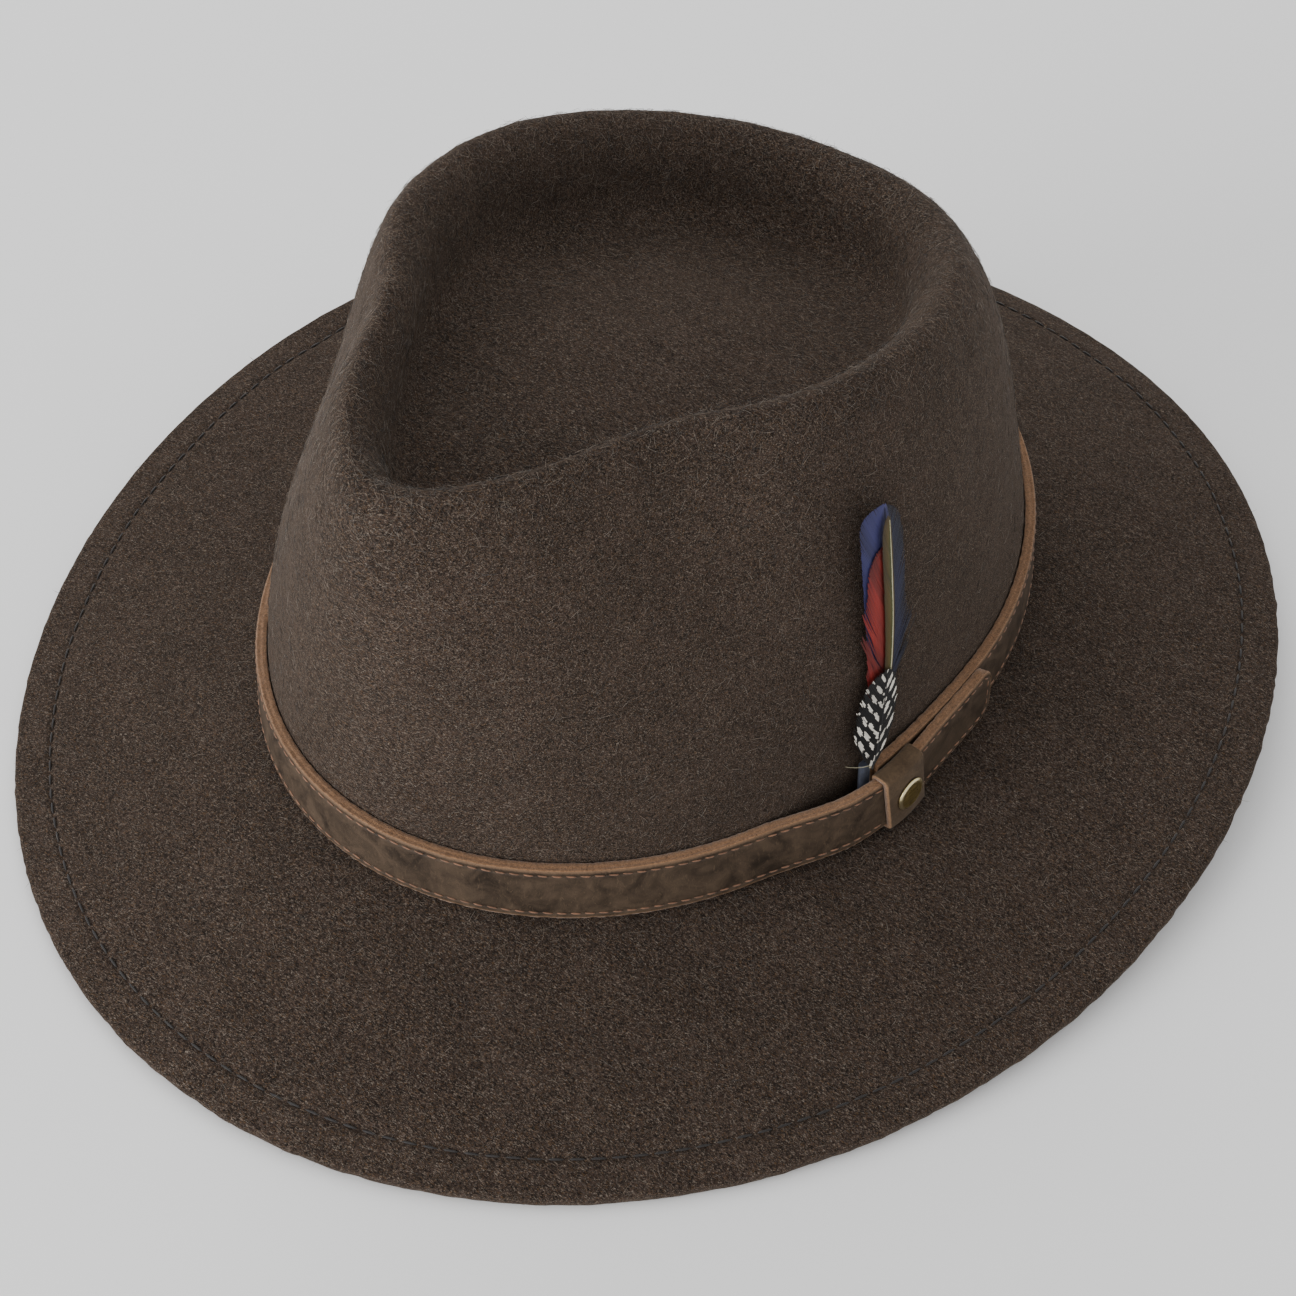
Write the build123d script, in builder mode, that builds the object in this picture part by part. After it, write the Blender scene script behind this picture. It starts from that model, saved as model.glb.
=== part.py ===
"""Fedora hat: felt hood with a teardrop crown, leather band with keeper and rivet, feather trim and sweatband.

Millimetres. +Z is up, the front of the hat faces -Y and the wearer's left is +X. The origin is under the
middle of the brim, on the surface that the hat rests on. Angles run round the head: 0 at the front, 90 at the
wearer's left, 180 at the back.
"""
import os
from functools import lru_cache
from math import cos, degrees, exp, hypot, radians, sin

from build123d import *

os.makedirs("parts", exist_ok=True)

# ---- Driving dimensions: head opening and brim ----
base_half_length = 107.0  # outer felt at the brim break, front to back
base_half_width = 83.0
break_saddle = 2.0  # the break line is this much higher at front and back, and lower at the sides
crown_shift = -1.4  # the crown stands this far in front of the middle of the brim
brim_half_length = 170.0
brim_half_width = 147.0
brim_drop = 12.1  # mean drop of the brim edge below the break line
brim_front_drop = 1.8
brim_end_drop = 3.3  # extra drop at front and back
brim_corner_lift = 2.1
felt = 2.0  # felt thickness
hem_width = 9.6  # the edge is turned under by this much
hem_felt = 1.5  # thickness of the turned layer, pressed flat
rest_height = 19.07  # the break line stands this high over the surface that the hat rests on

# ---- Crown ----
crown_height = 102.0
front_rise = 11.2  # the rim climbs towards the front
side_rise = 5.1
rim_round = 8.0  # roundness of the crown's rim
rim_half_length = 86.0
rim_half_width = 60.5
rim_shift = -5.7
nose_taper = 0.49  # how much the rim narrows to a nose at the front
nose_sharpness = 3.5
nose_reach = 3.2
pinch_depth = 8.0
pinch_angle = 56.0
pinch_width = 18.0
wall_flare = 1.53
dent_depth = 20.0
dent_dome = 4.0
dent_lean = 2.4  # the dent's wall leans in by this much
felt_press = 3.2  # the felt gives way by this much under the doubled strap and the rivet
press_angle = 84.0
press_width = 20.0

# ---- Band, keeper and rivet ----
band_low = 1.9  # lower edge of the strap over the break line
band_height = 15.5
strap = 2.6  # leather thickness of the strap
play = 0.1  # between layers of leather
band_gap = 0.3  # between felt and strap
band_stitch_inset = 1.4  # from the strap's edge to the row of stitches
strap_start = 75.8  # inner end of the strap, behind the keeper
strap_end = 99.0  # free end of the strap, on top
lap_start = 57.0  # the strap climbs over its own start between these angles
lap_full = 70.0
keeper_angle = 78.2
keeper_width = 13.5
keeper_skew = 0.07  # degrees towards the front for each millimetre up
keeper_leather = 1.3
keeper_back = 0.8  # the back ply is skived
keeper_corner = 0.5
stand_off = 1.7  # the feather's binding and the keeper's back ply hold the lapping strap off by this much
stand_angle = 75.5
stand_width = 9.0
rivet_back_thick = 0.5
rivet_back_radius = 4.0
rivet_back_spread = 10.0  # degrees round the rivet over which the strap eases back to the felt
rivet_post_radius = 1.5
rivet_bore_radius = 1.55
rivet_bore_length = 30.0
rivet_cap_radius = 4.2
rivet_cap_height = 1.1
rivet_cap_round = 0.65
rivet_cap_gap = 0.25  # the flat cap stands this far off the curved keeper

# ---- Feather trim ----
trim_angle = 73.3  # where the stem goes behind the band
trim_tip_angle = 81.2
trim_foot = 4.5  # foot of the binding over the break line
trim_tip_height = 91.5  # tip of the longest feather over the break line
trim_foot_offset = 3.0
trim_tip_offset = 5.8
binding_width = 3.4
binding_thick = 2.0
binding_length = 15.5
stem_bow = 4.8  # the feathers' stems bow towards the back between the binding and the tip
stem_bow_power = 0.7  # under 1, the bow is strongest in the lower half
stem_width = 0.6
quill_radius = 0.25
quill_pitch = 0.56
feather_thick = 0.5
feather_step = 0.62  # one feather lies this far over the next
feather_start = 0.2  # above the binding

# ---- Sweatband ----
sweat_leather = 1.0
sweat_gap = 0.5
sweat_low = 1.2
sweat_height = 33.0
reed_radius = 0.8
tape = 0.4
patch_width = 14.0
patch_leather = 0.8
patch_low_inset = 0.5  # the back patch stops short of the sweatband's edges
patch_top_inset = 2.0
sweat_seam = 1.8  # height of the seam over the sweatband's lower edge
reed_inset = 1.6  # the reed lies this far in and this far below the sweatband's edge

thread = 0.5  # thickness of the sewing thread

ring_angles = [i * 360 / 60 for i in range(60)]


# ---- The felt's outer face: rings blended by a uniform cubic B-spline ----
def ring(angle, shift, length, width, taper, height, front, side, reach, pinch, press):
    """One guide ring of the crown, at an angle round the head."""
    t = radians(angle)
    x = width * sin(t) * (1 - taper * ((1 + cos(t)) / 2) ** nose_sharpness)
    y = shift - length * cos(t) - reach * cos(t) ** 2
    mirrored = abs((angle + 180) % 360 - 180)
    push = pinch * exp(-(((mirrored - pinch_angle) / pinch_width) ** 2))
    push += press * exp(-(((angle % 360 - press_angle) / press_width) ** 2))
    far = max(hypot(x, y), 1e-6)
    z = height - front * -cos(t) - side * cos(2 * t)
    return Vector(x * (1 - push / far), y * (1 - push / far) + crown_shift, z + rest_height)


def break_ring(angle, out, up):
    """A ring near the brim break, out over the brim or up the crown."""
    return ring(angle, 0, base_half_length + out, base_half_width + out, 0, up, 0, -break_saddle, 0, 0, felt_press)


def brim_edge(angle):
    """The outline of the brim."""
    t = radians(angle)
    drop = brim_drop + brim_front_drop * cos(t) + brim_end_drop * cos(2 * t) - brim_corner_lift * cos(3 * t)
    return Vector(brim_half_width * sin(t), -brim_half_length * cos(t), rest_height - drop)


@lru_cache(maxsize=None)
def guide_points(angle):
    """Guide points of the felt from the brim edge, over the break and the rim, to the middle of the dent."""
    edge, corner = brim_edge(angle), break_ring(angle, 2.5, -0.35)
    points = [edge + (corner - edge) * share for share in (0, 0.25, 0.5, 0.75)]
    points += [corner, break_ring(angle, 0, 0), break_ring(angle, 0, 2.5), break_ring(angle, -0.4, 14)]
    wide, narrow = rim_half_length + rim_round, rim_half_width + rim_round
    for share, pinched in ((0.36, 0), (0.60, 0.6), (0.82, 1)):
        g = share**wall_flare
        points.append(ring(angle, g * rim_shift, base_half_length + (wide - base_half_length) * g,
                           base_half_width + (narrow - base_half_width) * g, nose_taper * g**1.5,
                           crown_height * share, front_rise * share,
                           side_rise * share - break_saddle * (1 - share), nose_reach * g,
                           pinch_depth * pinched, 0))
    for out, up, pinched in ((0.75, -0.19, 1), (0, 0.35, 0.9), (-0.8, -0.3, 0.8)):
        points.append(ring(angle, rim_shift, rim_half_length + out * rim_round, rim_half_width + out * rim_round,
                           nose_taper, crown_height + up * rim_round, front_rise, side_rise, nose_reach,
                           pinch_depth * pinched, 0))
    foot = rim_round + dent_lean
    points.append(ring(angle, rim_shift, rim_half_length - rim_round - dent_lean / 2,
                       rim_half_width - rim_round - dent_lean / 2, nose_taper, crown_height - 0.55 * dent_depth,
                       front_rise, side_rise, nose_reach, pinch_depth / 2, 0))
    for share, taper, depth, front, side, reach in ((1, 0.95, 1, 1, 0.6, 1), (0.72, 0.8, 0.97, 0.9, 0.4, 0.7),
                                                    (0.38, 0.5, 1, 0.5, 0, 0)):
        rise = dent_dome if share < 0.5 else 0
        points.append(ring(angle, rim_shift, share * (rim_half_length - foot), share * (rim_half_width - foot),
                           taper * nose_taper, crown_height - depth * dent_depth + rise, front * front_rise,
                           side * side_rise, reach * nose_reach, 0, 0))
    points.append(ring(angle, rim_shift, 0.5, 0.5, 0, crown_height - dent_depth + 1.25 * dent_dome, 0, 0, 0, 0, 0))
    return [points[0] * 2 - points[1]] + points + [points[-1] * 2 - points[-2]]


last_level = 18
break_level = 5


def felt_point(angle, level):
    """A point of the outer face: level 0 is the brim edge, 5 the break, 12 the rim, 18 the middle of the dent."""
    points = guide_points(angle)
    i = min(int(level), last_level - 1)
    w = level - i
    blend = ((1 - w) ** 3, 3 * w**3 - 6 * w**2 + 4, 1 + 3 * w + 3 * w**2 - 3 * w**3, w**3)
    return sum((points[i + k] * (blend[k] / 6) for k in range(4)), Vector(0, 0, 0))


def felt_normal(angle, level):
    """Outward direction of the outer face."""
    if level == last_level:
        return Vector(0, 0, 1)
    up = felt_point(angle, min(level + 0.01, last_level)) - felt_point(angle, max(level - 0.01, 0))
    along = felt_point(angle + 0.5, level) - felt_point(angle - 0.5, level)
    return along.cross(up).normalized()


def inside_felt(angle, level, depth):
    """A point at a depth under the outer face."""
    return felt_point(angle, level) - felt_normal(angle, level) * depth


def wall_level(angle, height):
    """The level at which the crown's wall is a height over the break line."""
    low, high = break_level, break_level + 5
    target = felt_point(angle, break_level).Z + height
    for _ in range(24):
        middle = (low + high) / 2
        if felt_point(angle, middle).Z < target:
            low = middle
        else:
            high = middle
    return low


strap_middle = band_low + band_height / 2


@lru_cache(maxsize=None)
def wall_frame(angle):
    """Middle, up and outward directions of the straight strip of wall that the band lies on."""
    low, high = (felt_point(angle, wall_level(angle, band_low + h)) for h in (1, band_height - 1))
    before, after = (felt_point(angle + turn, wall_level(angle + turn, strap_middle)) for turn in (-0.5, 0.5))
    up = (high - low).normalized()
    return (low + high) / 2, up, (after - before).cross(up).normalized()


def wall_point(angle, height, offset):
    """A point off the crown's wall, at a height over the break line and an offset out from the felt."""
    middle, up, out = wall_frame(angle % 360)
    return middle + up * (height - strap_middle) + out * offset


# ---- Solids skinned over curves that go round the head ----
def ring_curve(place):
    """A closed curve round the head."""
    with BuildLine() as curve:
        Spline(*[place(angle) for angle in ring_angles], periodic=True)
    return curve.edge()


def open_curve(place, angles):
    """A curve along part of the way round the head."""
    with BuildLine() as curve:
        Spline(*[place(angle) for angle in angles])
    return curve.edge()


def ruled(curves):
    """Ruled faces from each curve to the next."""
    return [Face.make_surface_from_curves(a, b) for a, b in zip(curves, curves[1:])]


def round_solid(section):
    """A closed ring round the head from the corners of its section, each one a function of the angle."""
    curves = [ring_curve(place) for place in section]
    return Solid(Shell(ruled(curves + curves[:1])))


def end_faces(corners):
    """Faces across the end of a strip, between the corners behind and as many in front."""
    half = len(corners) // 2
    behind, before = corners[:half], corners[:half - 1:-1]
    return [Face.make_surface_from_curves(Edge.make_line(a, b), Edge.make_line(c, d))
            for a, b, c, d in zip(behind, behind[1:], before, before[1:])]


def strip_solid(section, angles):
    """A strip from one angle to another, from the corners of its section."""
    curves = [open_curve(place, angles) for place in section]
    ends = [face for angle in (angles[0], angles[-1]) for face in end_faces([place(angle) for place in section])]
    return Solid(Shell(ruled(curves + curves[:1]) + ends))


def steps(start, end, count):
    return [start + (end - start) * i / count for i in range(count + 1)]


def finish(part, name):
    part.label = name
    export_step(part, f"parts/{name}.step")


# ---- Felt hood, one piece with a folded hem ----
def make_felt_body():
    hem_level = 4 * hem_width / (brim_half_width - base_half_width)
    edge = felt + hem_felt

    def nose(depth):
        def place(angle):
            top = felt_point(angle, 0)
            out = (top - felt_point(angle, 0.2)).normalized()
            return top + out - felt_normal(angle, 0) * depth
        return place

    outer = [0, 0.5, 1, 2, 3, 3.7, 4.2, 4.6, 5, 5.4, 5.8, 6.5, 7, 7.5, 8, 8.5, 9, 9.5, 10, 10.3, 10.6, 11,
             11.3, 11.6, 12, 12.3, 12.6, 13, 13.4, 13.8, 14.2, 14.6, 15, 15.4, 16, 17, 18]
    inner = [level for level in outer if level > hem_level + 0.1]
    places = [lambda angle, u=level: felt_point(angle, u) for level in reversed(outer)]
    places += [nose(edge * 0.3), nose(edge * 0.7)]
    places += [lambda angle, u=level: inside_felt(angle, u, edge) for level in (0, hem_level)]
    places += [lambda angle, u=level: inside_felt(angle, u, felt) for level in [hem_level + 0.02] + inner]
    curves = [ring_curve(place) for place in places]
    caps = [Face(Wire([curve])) for curve in (curves[0], curves[-1])]
    with BuildPart() as felt_body:
        add(Solid(Shell(ruled(curves) + caps)))
    finish(felt_body.part, "felt_body")


# ---- Leather band: one strap whose end lies on top of its own start ----
def climb(angle, start, full):
    share = min(max((angle - start) / (full - start), 0), 1)
    return share * share * (3 - 2 * share)


def strap_offset(turned):
    """Offset of the strap's inner face. The angle goes on past 360 where the strap laps itself."""
    under = (rivet_back_thick + play) * exp(-(((turned % 360 - keeper_angle) / rivet_back_spread) ** 2))
    over = strap + play + stand_off * exp(-(((turned - 360 - stand_angle) / stand_width) ** 2))
    return band_gap + under + over * climb(turned, 360 + lap_start, 360 + lap_full)


def rivet_plane(offset):
    middle, up, out = wall_frame(keeper_angle)
    return Plane(origin=middle + out * offset, x_dir=up, z_dir=out)


def make_band():
    low, high = band_low, band_low + band_height
    section = [lambda s: wall_point(s, low, strap_offset(s)),
               lambda s: wall_point(s, high, strap_offset(s)),
               lambda s: wall_point(s, high, strap_offset(s) + strap),
               lambda s: wall_point(s, low, strap_offset(s) + strap)]
    angles = steps(strap_start, 360 + strap_end, 128)
    with BuildPart() as hat_band:
        add(strip_solid(section, angles))
        with Locations(rivet_plane(0).location):
            Cylinder(rivet_bore_radius, rivet_bore_length, mode=Mode.SUBTRACT)
    finish(hat_band.part, "hat_band")


cap_base = strap_offset(360 + keeper_angle) + strap + play + keeper_leather + rivet_cap_gap


def rounded_section(back, front, low, high, corner):
    """Corners of a strip's section with its four corners cut, from functions of the angle."""
    def place(offset, inset, height):
        return lambda s: wall_point(s - keeper_skew * (height - strap_middle), height, offset(s) + inset)
    return [place(back, corner, low), place(back, 0, low + corner), place(back, 0, high - corner),
            place(back, corner, high), place(front, -corner, high), place(front, 0, high - corner),
            place(front, 0, low + corner), place(front, -corner, low)]


def make_keeper_and_rivet():
    def inner_back(angle):
        return strap_offset(angle + 360) - play

    def inner_front(angle):
        return strap_offset(angle + 360) + strap + play

    half_turn = degrees(keeper_width / 2 / base_half_length)
    angles = steps(keeper_angle - half_turn, keeper_angle + half_turn, 8)
    low, high = band_low - play, band_low + band_height + play
    with BuildPart() as keeper_loop:
        add(strip_solid(rounded_section(lambda s: inner_back(s) - keeper_back,
                                        lambda s: inner_front(s) + keeper_leather,
                                        low - keeper_leather, high + keeper_leather, keeper_corner), angles))
        add(strip_solid(rounded_section(inner_back, inner_front, low, high, play / 2), angles), mode=Mode.SUBTRACT)
        with Locations(rivet_plane(0).location):
            Cylinder(rivet_bore_radius, rivet_bore_length, mode=Mode.SUBTRACT)
    finish(keeper_loop.part, "keeper_loop")

    with BuildPart() as rivet_cap:
        with BuildSketch(rivet_plane(cap_base)):
            Circle(rivet_cap_radius)
        extrude(amount=rivet_cap_height)
        fillet(rivet_cap.edges().sort_by(Axis.X)[-1], rivet_cap_round)
    finish(rivet_cap.part, "rivet_cap")

    with BuildPart() as rivet_post:
        with BuildSketch(rivet_plane(band_gap + rivet_back_thick)):
            Circle(rivet_post_radius)
        extrude(amount=cap_base - band_gap - rivet_back_thick)
    finish(rivet_post.part, "rivet_post")

    with BuildPart() as rivet_back:
        with BuildSketch(rivet_plane(band_gap)):
            Circle(rivet_back_radius)
        extrude(amount=rivet_back_thick)
    finish(rivet_back.part, "rivet_back")


# ---- Feather trim: five feathers in layers, their quills bound with thread and tucked behind the band ----
foot_point = wall_point(trim_angle, trim_foot, trim_foot_offset)
tip_level = wall_level(trim_tip_angle, trim_tip_height)
tip_point = felt_point(trim_tip_angle, tip_level) + felt_normal(trim_tip_angle, tip_level) * trim_tip_offset
trim_up = (tip_point - foot_point).normalized()
trim_across = trim_up.cross(wall_frame(trim_angle)[2]).normalized()
trim_out = trim_across.cross(trim_up)
trim_length = (tip_point - foot_point).length


def trim_plane(layer_offset):
    """Plane of a layer of the trim: X across it towards the back of the hat, Y up the stem, Z away from the felt."""
    return Plane(origin=foot_point + trim_out * layer_offset, x_dir=trim_across, z_dir=trim_out)


def stem_x(along):
    """Place of the feathers' common stem across the trim."""
    share = max(along - binding_length, 0) / (trim_length - binding_length)
    return stem_bow * sin(radians(180 * share**stem_bow_power))


def make_feather(name, layer, tip, widest, left, right):
    """A leaf-shaped vane from the binding to its tip, as far as it reaches left and right of the stem."""
    foot, half_stem = binding_length + feather_start, stem_width / 2
    low = (foot + widest) / 2

    def side(reach):
        return [(stem_x(foot) + half_stem * reach / abs(reach), foot), (stem_x(low) + 0.75 * reach, low),
                (stem_x(widest) + reach, widest), (stem_x(tip), tip)]

    with BuildPart() as feather:
        with BuildSketch(trim_plane((layer - 1) * feather_step)):
            with BuildLine():
                Spline(*side(-left))
                Spline(*side(right))
                Line(side(-left)[0], side(right)[0])
            make_face()
        extrude(amount=feather_thick)
    finish(feather.part, name)


def make_trim():
    top = trim_length
    make_feather("feather_blue_right", 0, top - 1.5, 0.62 * top, 1.5, 5.6)
    make_feather("feather_blue_left", 1, top, 0.74 * top, 7.6, 2.4)
    make_feather("feather_red", 2, 0.88 * top, 0.60 * top, 7.2, 1.0)
    make_feather("feather_green", 3, 0.97 * top, 0.78 * top, 3.2, 1.0)
    make_feather("feather_guinea", 4, 0.48 * top, 0.35 * top, 6.6, 4.8)

    bore_width, bore_thick = 5 * quill_pitch + 0.1, 2 * quill_radius + 0.2
    foot_plane = Plane(origin=foot_point, x_dir=trim_across, z_dir=trim_up)
    with BuildPart() as feather_binding:
        with BuildSketch(foot_plane):
            SlotOverall(binding_width, binding_thick)
            Rectangle(bore_width, bore_thick, mode=Mode.SUBTRACT)
        extrude(amount=binding_length)
    finish(feather_binding.part, "feather_binding")

    with BuildPart() as feather_quills:
        with BuildSketch(foot_plane):
            with GridLocations(quill_pitch, 0, 5, 1):
                Circle(quill_radius)
        extrude(amount=binding_length)
    finish(feather_quills.part, "feather_quills")


# ---- Sweatband and what holds it ----
def inner_point(angle, height, depth):
    """A point inside the head opening, at a depth under the felt's outer face."""
    if height <= band_low + band_height:
        return wall_point(angle, height, -depth)
    return inside_felt(angle, wall_level(angle % 360, height), depth)


def lining_section(low, high, depth, thick):
    """Section of a layer that lies against the inside of the crown's wall."""
    heights = (low, (low + high) / 2, high)
    outer = [lambda s, h=h: inner_point(s, h, depth) for h in heights]
    inner = [lambda s, h=h: inner_point(s, h, depth + thick) for h in reversed(heights)]
    return outer + inner


sweat_depth = felt + sweat_gap
patch_turn = degrees(patch_width / 2 / base_half_width)


def make_sweatband():
    with BuildPart() as sweatband:
        add(round_solid(lining_section(sweat_low, sweat_low + sweat_height, sweat_depth, sweat_leather)))
    finish(sweatband.part, "sweatband")

    with BuildPart() as sweatband_back_patch:
        add(strip_solid(lining_section(sweat_low + patch_low_inset, sweat_low + sweat_height - patch_top_inset,
                                       sweat_depth + sweat_leather + 2 * play, patch_leather),
                        steps(180 - patch_turn, 180 + patch_turn, 8)))
    finish(sweatband_back_patch.part, "sweatband_back_patch")

    reed_depth, reed_height = sweat_depth + reed_inset, sweat_low - reed_inset

    def reed_corner(turn, radius):
        return lambda s: wall_point(s, reed_height + radius * sin(radians(turn)),
                                    -reed_depth + radius * cos(radians(turn)))

    with BuildPart() as sweatband_reed:
        add(round_solid([reed_corner(turn, reed_radius) for turn in range(0, 360, 45)]))
    finish(sweatband_reed.part, "sweatband_reed")

    arc = steps(120, 420, 8)
    with BuildPart() as sweatband_tape:
        add(round_solid([reed_corner(turn, reed_radius + play + tape) for turn in arc]
                        + [reed_corner(turn, reed_radius + play) for turn in reversed(arc)]))
    finish(sweatband_tape.part, "sweatband_tape")


# ---- Thread, each sewn row one continuous line ----
def thread_section(place):
    """A square section of thread round a path, from a function of the angle and the lift off the surface."""
    return [lambda s: place(s, 0, play), lambda s: place(s, 1, play),
            lambda s: place(s, 1, play + thread), lambda s: place(s, 0, play + thread)]


def make_thread():
    rows = []
    for depth, out in ((0, 1), (felt + hem_felt, -1)):
        def on_brim(angle, side, lift, depth=depth, out=out):
            from_edge = hem_width - 1 + side * thread
            return inside_felt(angle, 4 * from_edge / (brim_half_width - base_half_width), depth - out * lift)
        rows.append(round_solid(thread_section(on_brim)))
    with BuildPart() as brim_stitching:
        add(rows)
    finish(brim_stitching.part, "brim_stitching")

    def on_sweatband(angle, side, lift):
        return wall_point(angle, sweat_low + sweat_seam + side * thread, -sweat_depth - sweat_leather - lift)

    free = patch_turn + 1
    with BuildPart() as sweatband_stitching:
        add(strip_solid(thread_section(on_sweatband), steps(180 + free, 540 - free, 60)))
    finish(sweatband_stitching.part, "sweatband_stitching")


def make_band_thread():
    """Two rows on the strap's outer face, in two stretches: round the head up to the keeper, and on the tongue."""
    half_turn = degrees(keeper_width / 2 / base_half_length)
    stretches = (steps(strap_end + 1, 360 + keeper_angle - half_turn - 0.5, 100),
                 steps(360 + keeper_angle + half_turn + 0.5, 360 + strap_end - 1, 12))
    with BuildPart() as band_stitching:
        for row in (band_low + band_stitch_inset, band_low + band_height - band_stitch_inset - thread):
            def on_band(angle, side, lift, row=row):
                return wall_point(angle, row + side * thread, strap_offset(angle) + strap + lift)
            for angles in stretches:
                add(strip_solid(thread_section(on_band), angles))
    finish(band_stitching.part, "band_stitching")


make_felt_body()
make_band()
make_keeper_and_rivet()
make_trim()
make_sweatband()
make_thread()
make_band_thread()
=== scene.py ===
"""The looks of the felt fedora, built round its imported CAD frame. Lengths in millimetres until they reach Blender."""
import math

import bpy
import numpy as np
from mathutils import Matrix, Vector


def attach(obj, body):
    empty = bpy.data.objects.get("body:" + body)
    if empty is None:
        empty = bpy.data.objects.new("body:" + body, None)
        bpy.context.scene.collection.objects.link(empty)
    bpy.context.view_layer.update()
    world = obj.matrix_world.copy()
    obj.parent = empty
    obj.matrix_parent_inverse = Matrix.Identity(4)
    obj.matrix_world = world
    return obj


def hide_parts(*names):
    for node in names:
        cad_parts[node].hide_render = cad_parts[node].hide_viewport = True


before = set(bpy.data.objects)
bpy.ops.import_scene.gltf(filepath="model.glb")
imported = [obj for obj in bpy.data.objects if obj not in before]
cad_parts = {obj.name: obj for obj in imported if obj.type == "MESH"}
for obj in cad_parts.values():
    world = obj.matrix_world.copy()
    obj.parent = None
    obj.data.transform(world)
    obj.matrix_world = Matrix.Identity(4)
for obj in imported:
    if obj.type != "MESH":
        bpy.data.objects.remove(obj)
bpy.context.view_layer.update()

MM = 0.001
rng = np.random.default_rng(58)

# ---- The hat's driving dimensions, as in the CAD design ----
base_half_length, base_half_width = 107.0, 83.0
break_saddle = 2.0
crown_shift = -1.4
brim_half_length, brim_half_width = 170.0, 147.0
brim_drop, brim_front_drop, brim_end_drop, brim_corner_lift = 12.1, 1.8, 3.3, 2.1
felt, hem_felt, hem_width = 2.0, 1.5, 9.6
rest_height = 19.07
crown_height, front_rise, side_rise = 102.0, 11.2, 5.1
rim_round, rim_half_length, rim_half_width, rim_shift = 8.0, 86.0, 60.5, -5.7
nose_taper, nose_sharpness, nose_reach = 0.49, 3.5, 3.2
pinch_depth, pinch_angle, pinch_width = 8.0, 56.0, 18.0
wall_flare = 1.53
dent_depth, dent_dome, dent_lean = 20.0, 4.0, 2.4
felt_press, press_angle, press_width = 3.2, 84.0, 20.0
band_low, band_height, strap, play, band_gap = 1.9, 15.5, 2.6, 0.1, 0.3
strap_start, strap_end, lap_start, lap_full = 75.8, 99.0, 57.0, 70.0
band_stitch_inset = 1.4
keeper_angle, keeper_width, keeper_skew, keeper_leather, keeper_back = 78.2, 13.5, 0.07, 1.3, 0.8
stand_off, stand_angle, stand_width = 1.7, 75.5, 9.0
rivet_back_thick, rivet_back_spread, rivet_cap_radius, rivet_cap_height = 0.5, 10.0, 4.2, 1.1
trim_angle, trim_tip_angle, trim_foot, trim_tip_height = 73.3, 81.2, 4.5, 91.5
trim_foot_offset, trim_tip_offset = 3.0, 5.8
binding_width, binding_thick, binding_length = 3.4, 2.0, 15.5
stem_bow, stem_bow_power = 4.8, 0.7
feather_step = 0.62
sweat_leather, sweat_gap, sweat_low, sweat_height, sweat_seam = 1.0, 0.5, 1.2, 33.0, 2.0
reed_radius, tape, patch_width, thread = 0.8, 0.4, 14.0, 0.5
last_level, break_level = 18, 5

# ---- Sizes that only the looks have ----
uneven_wide, uneven_fine, calm_angle, calm_width = 0.28, 0.10, 78, 13
fuzz_free_angle, fuzz_free_half, fuzz_free_levels = 75.5, 4, (5, 9.2)  # the path of the binding
binding_slim = (0.95, 0.87)  # so that its ridges clear the felt when the trim is pulled out
brim_pitch, band_pitch, sweat_pitch = 4.5, 3.1, 3.6
brim_stitch, band_stitch, sweat_stitch = 0.26, 0.21, 0.24


# ---- The felt's outer face: guide rings blended by a uniform cubic B-spline, for arrays of angles in degrees ----
def ring(angle, shift, length, width, taper, height, front=0.0, side=0.0, reach=0.0, pinch=0.0, press=0.0):
    t = np.radians(angle)
    x = width * np.sin(t) * (1 - taper * ((1 + np.cos(t)) / 2) ** nose_sharpness)
    y = shift - length * np.cos(t) - reach * np.cos(t) ** 2
    mirrored = np.abs((angle + 180) % 360 - 180)
    push = pinch * np.exp(-(((mirrored - pinch_angle) / pinch_width) ** 2))
    push = push + press * np.exp(-(((angle % 360 - press_angle) / press_width) ** 2))
    far = np.maximum(np.hypot(x, y), 1e-6)
    z = height + front * np.cos(t) - side * np.cos(2 * t)
    return np.stack([x * (1 - push / far), y * (1 - push / far) + crown_shift, z + rest_height], -1)


def break_ring(angle, out, up):
    return ring(angle, 0, base_half_length + out, base_half_width + out, 0, up, side=-break_saddle, press=felt_press)


def brim_edge(angle):
    t = np.radians(angle)
    drop = brim_drop + brim_front_drop * np.cos(t) + brim_end_drop * np.cos(2 * t) - brim_corner_lift * np.cos(3 * t)
    return np.stack([brim_half_width * np.sin(t), -brim_half_length * np.cos(t), rest_height - drop], -1)


def kept(function):
    """Keeps a function's answers for arrays it has seen before."""
    answers = {}

    def answer(angle):
        angle = np.asarray(angle, float)
        key = (angle.shape, angle.tobytes())
        if key not in answers:
            answers[key] = function(angle)
        return answers[key]
    return answer


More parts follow.
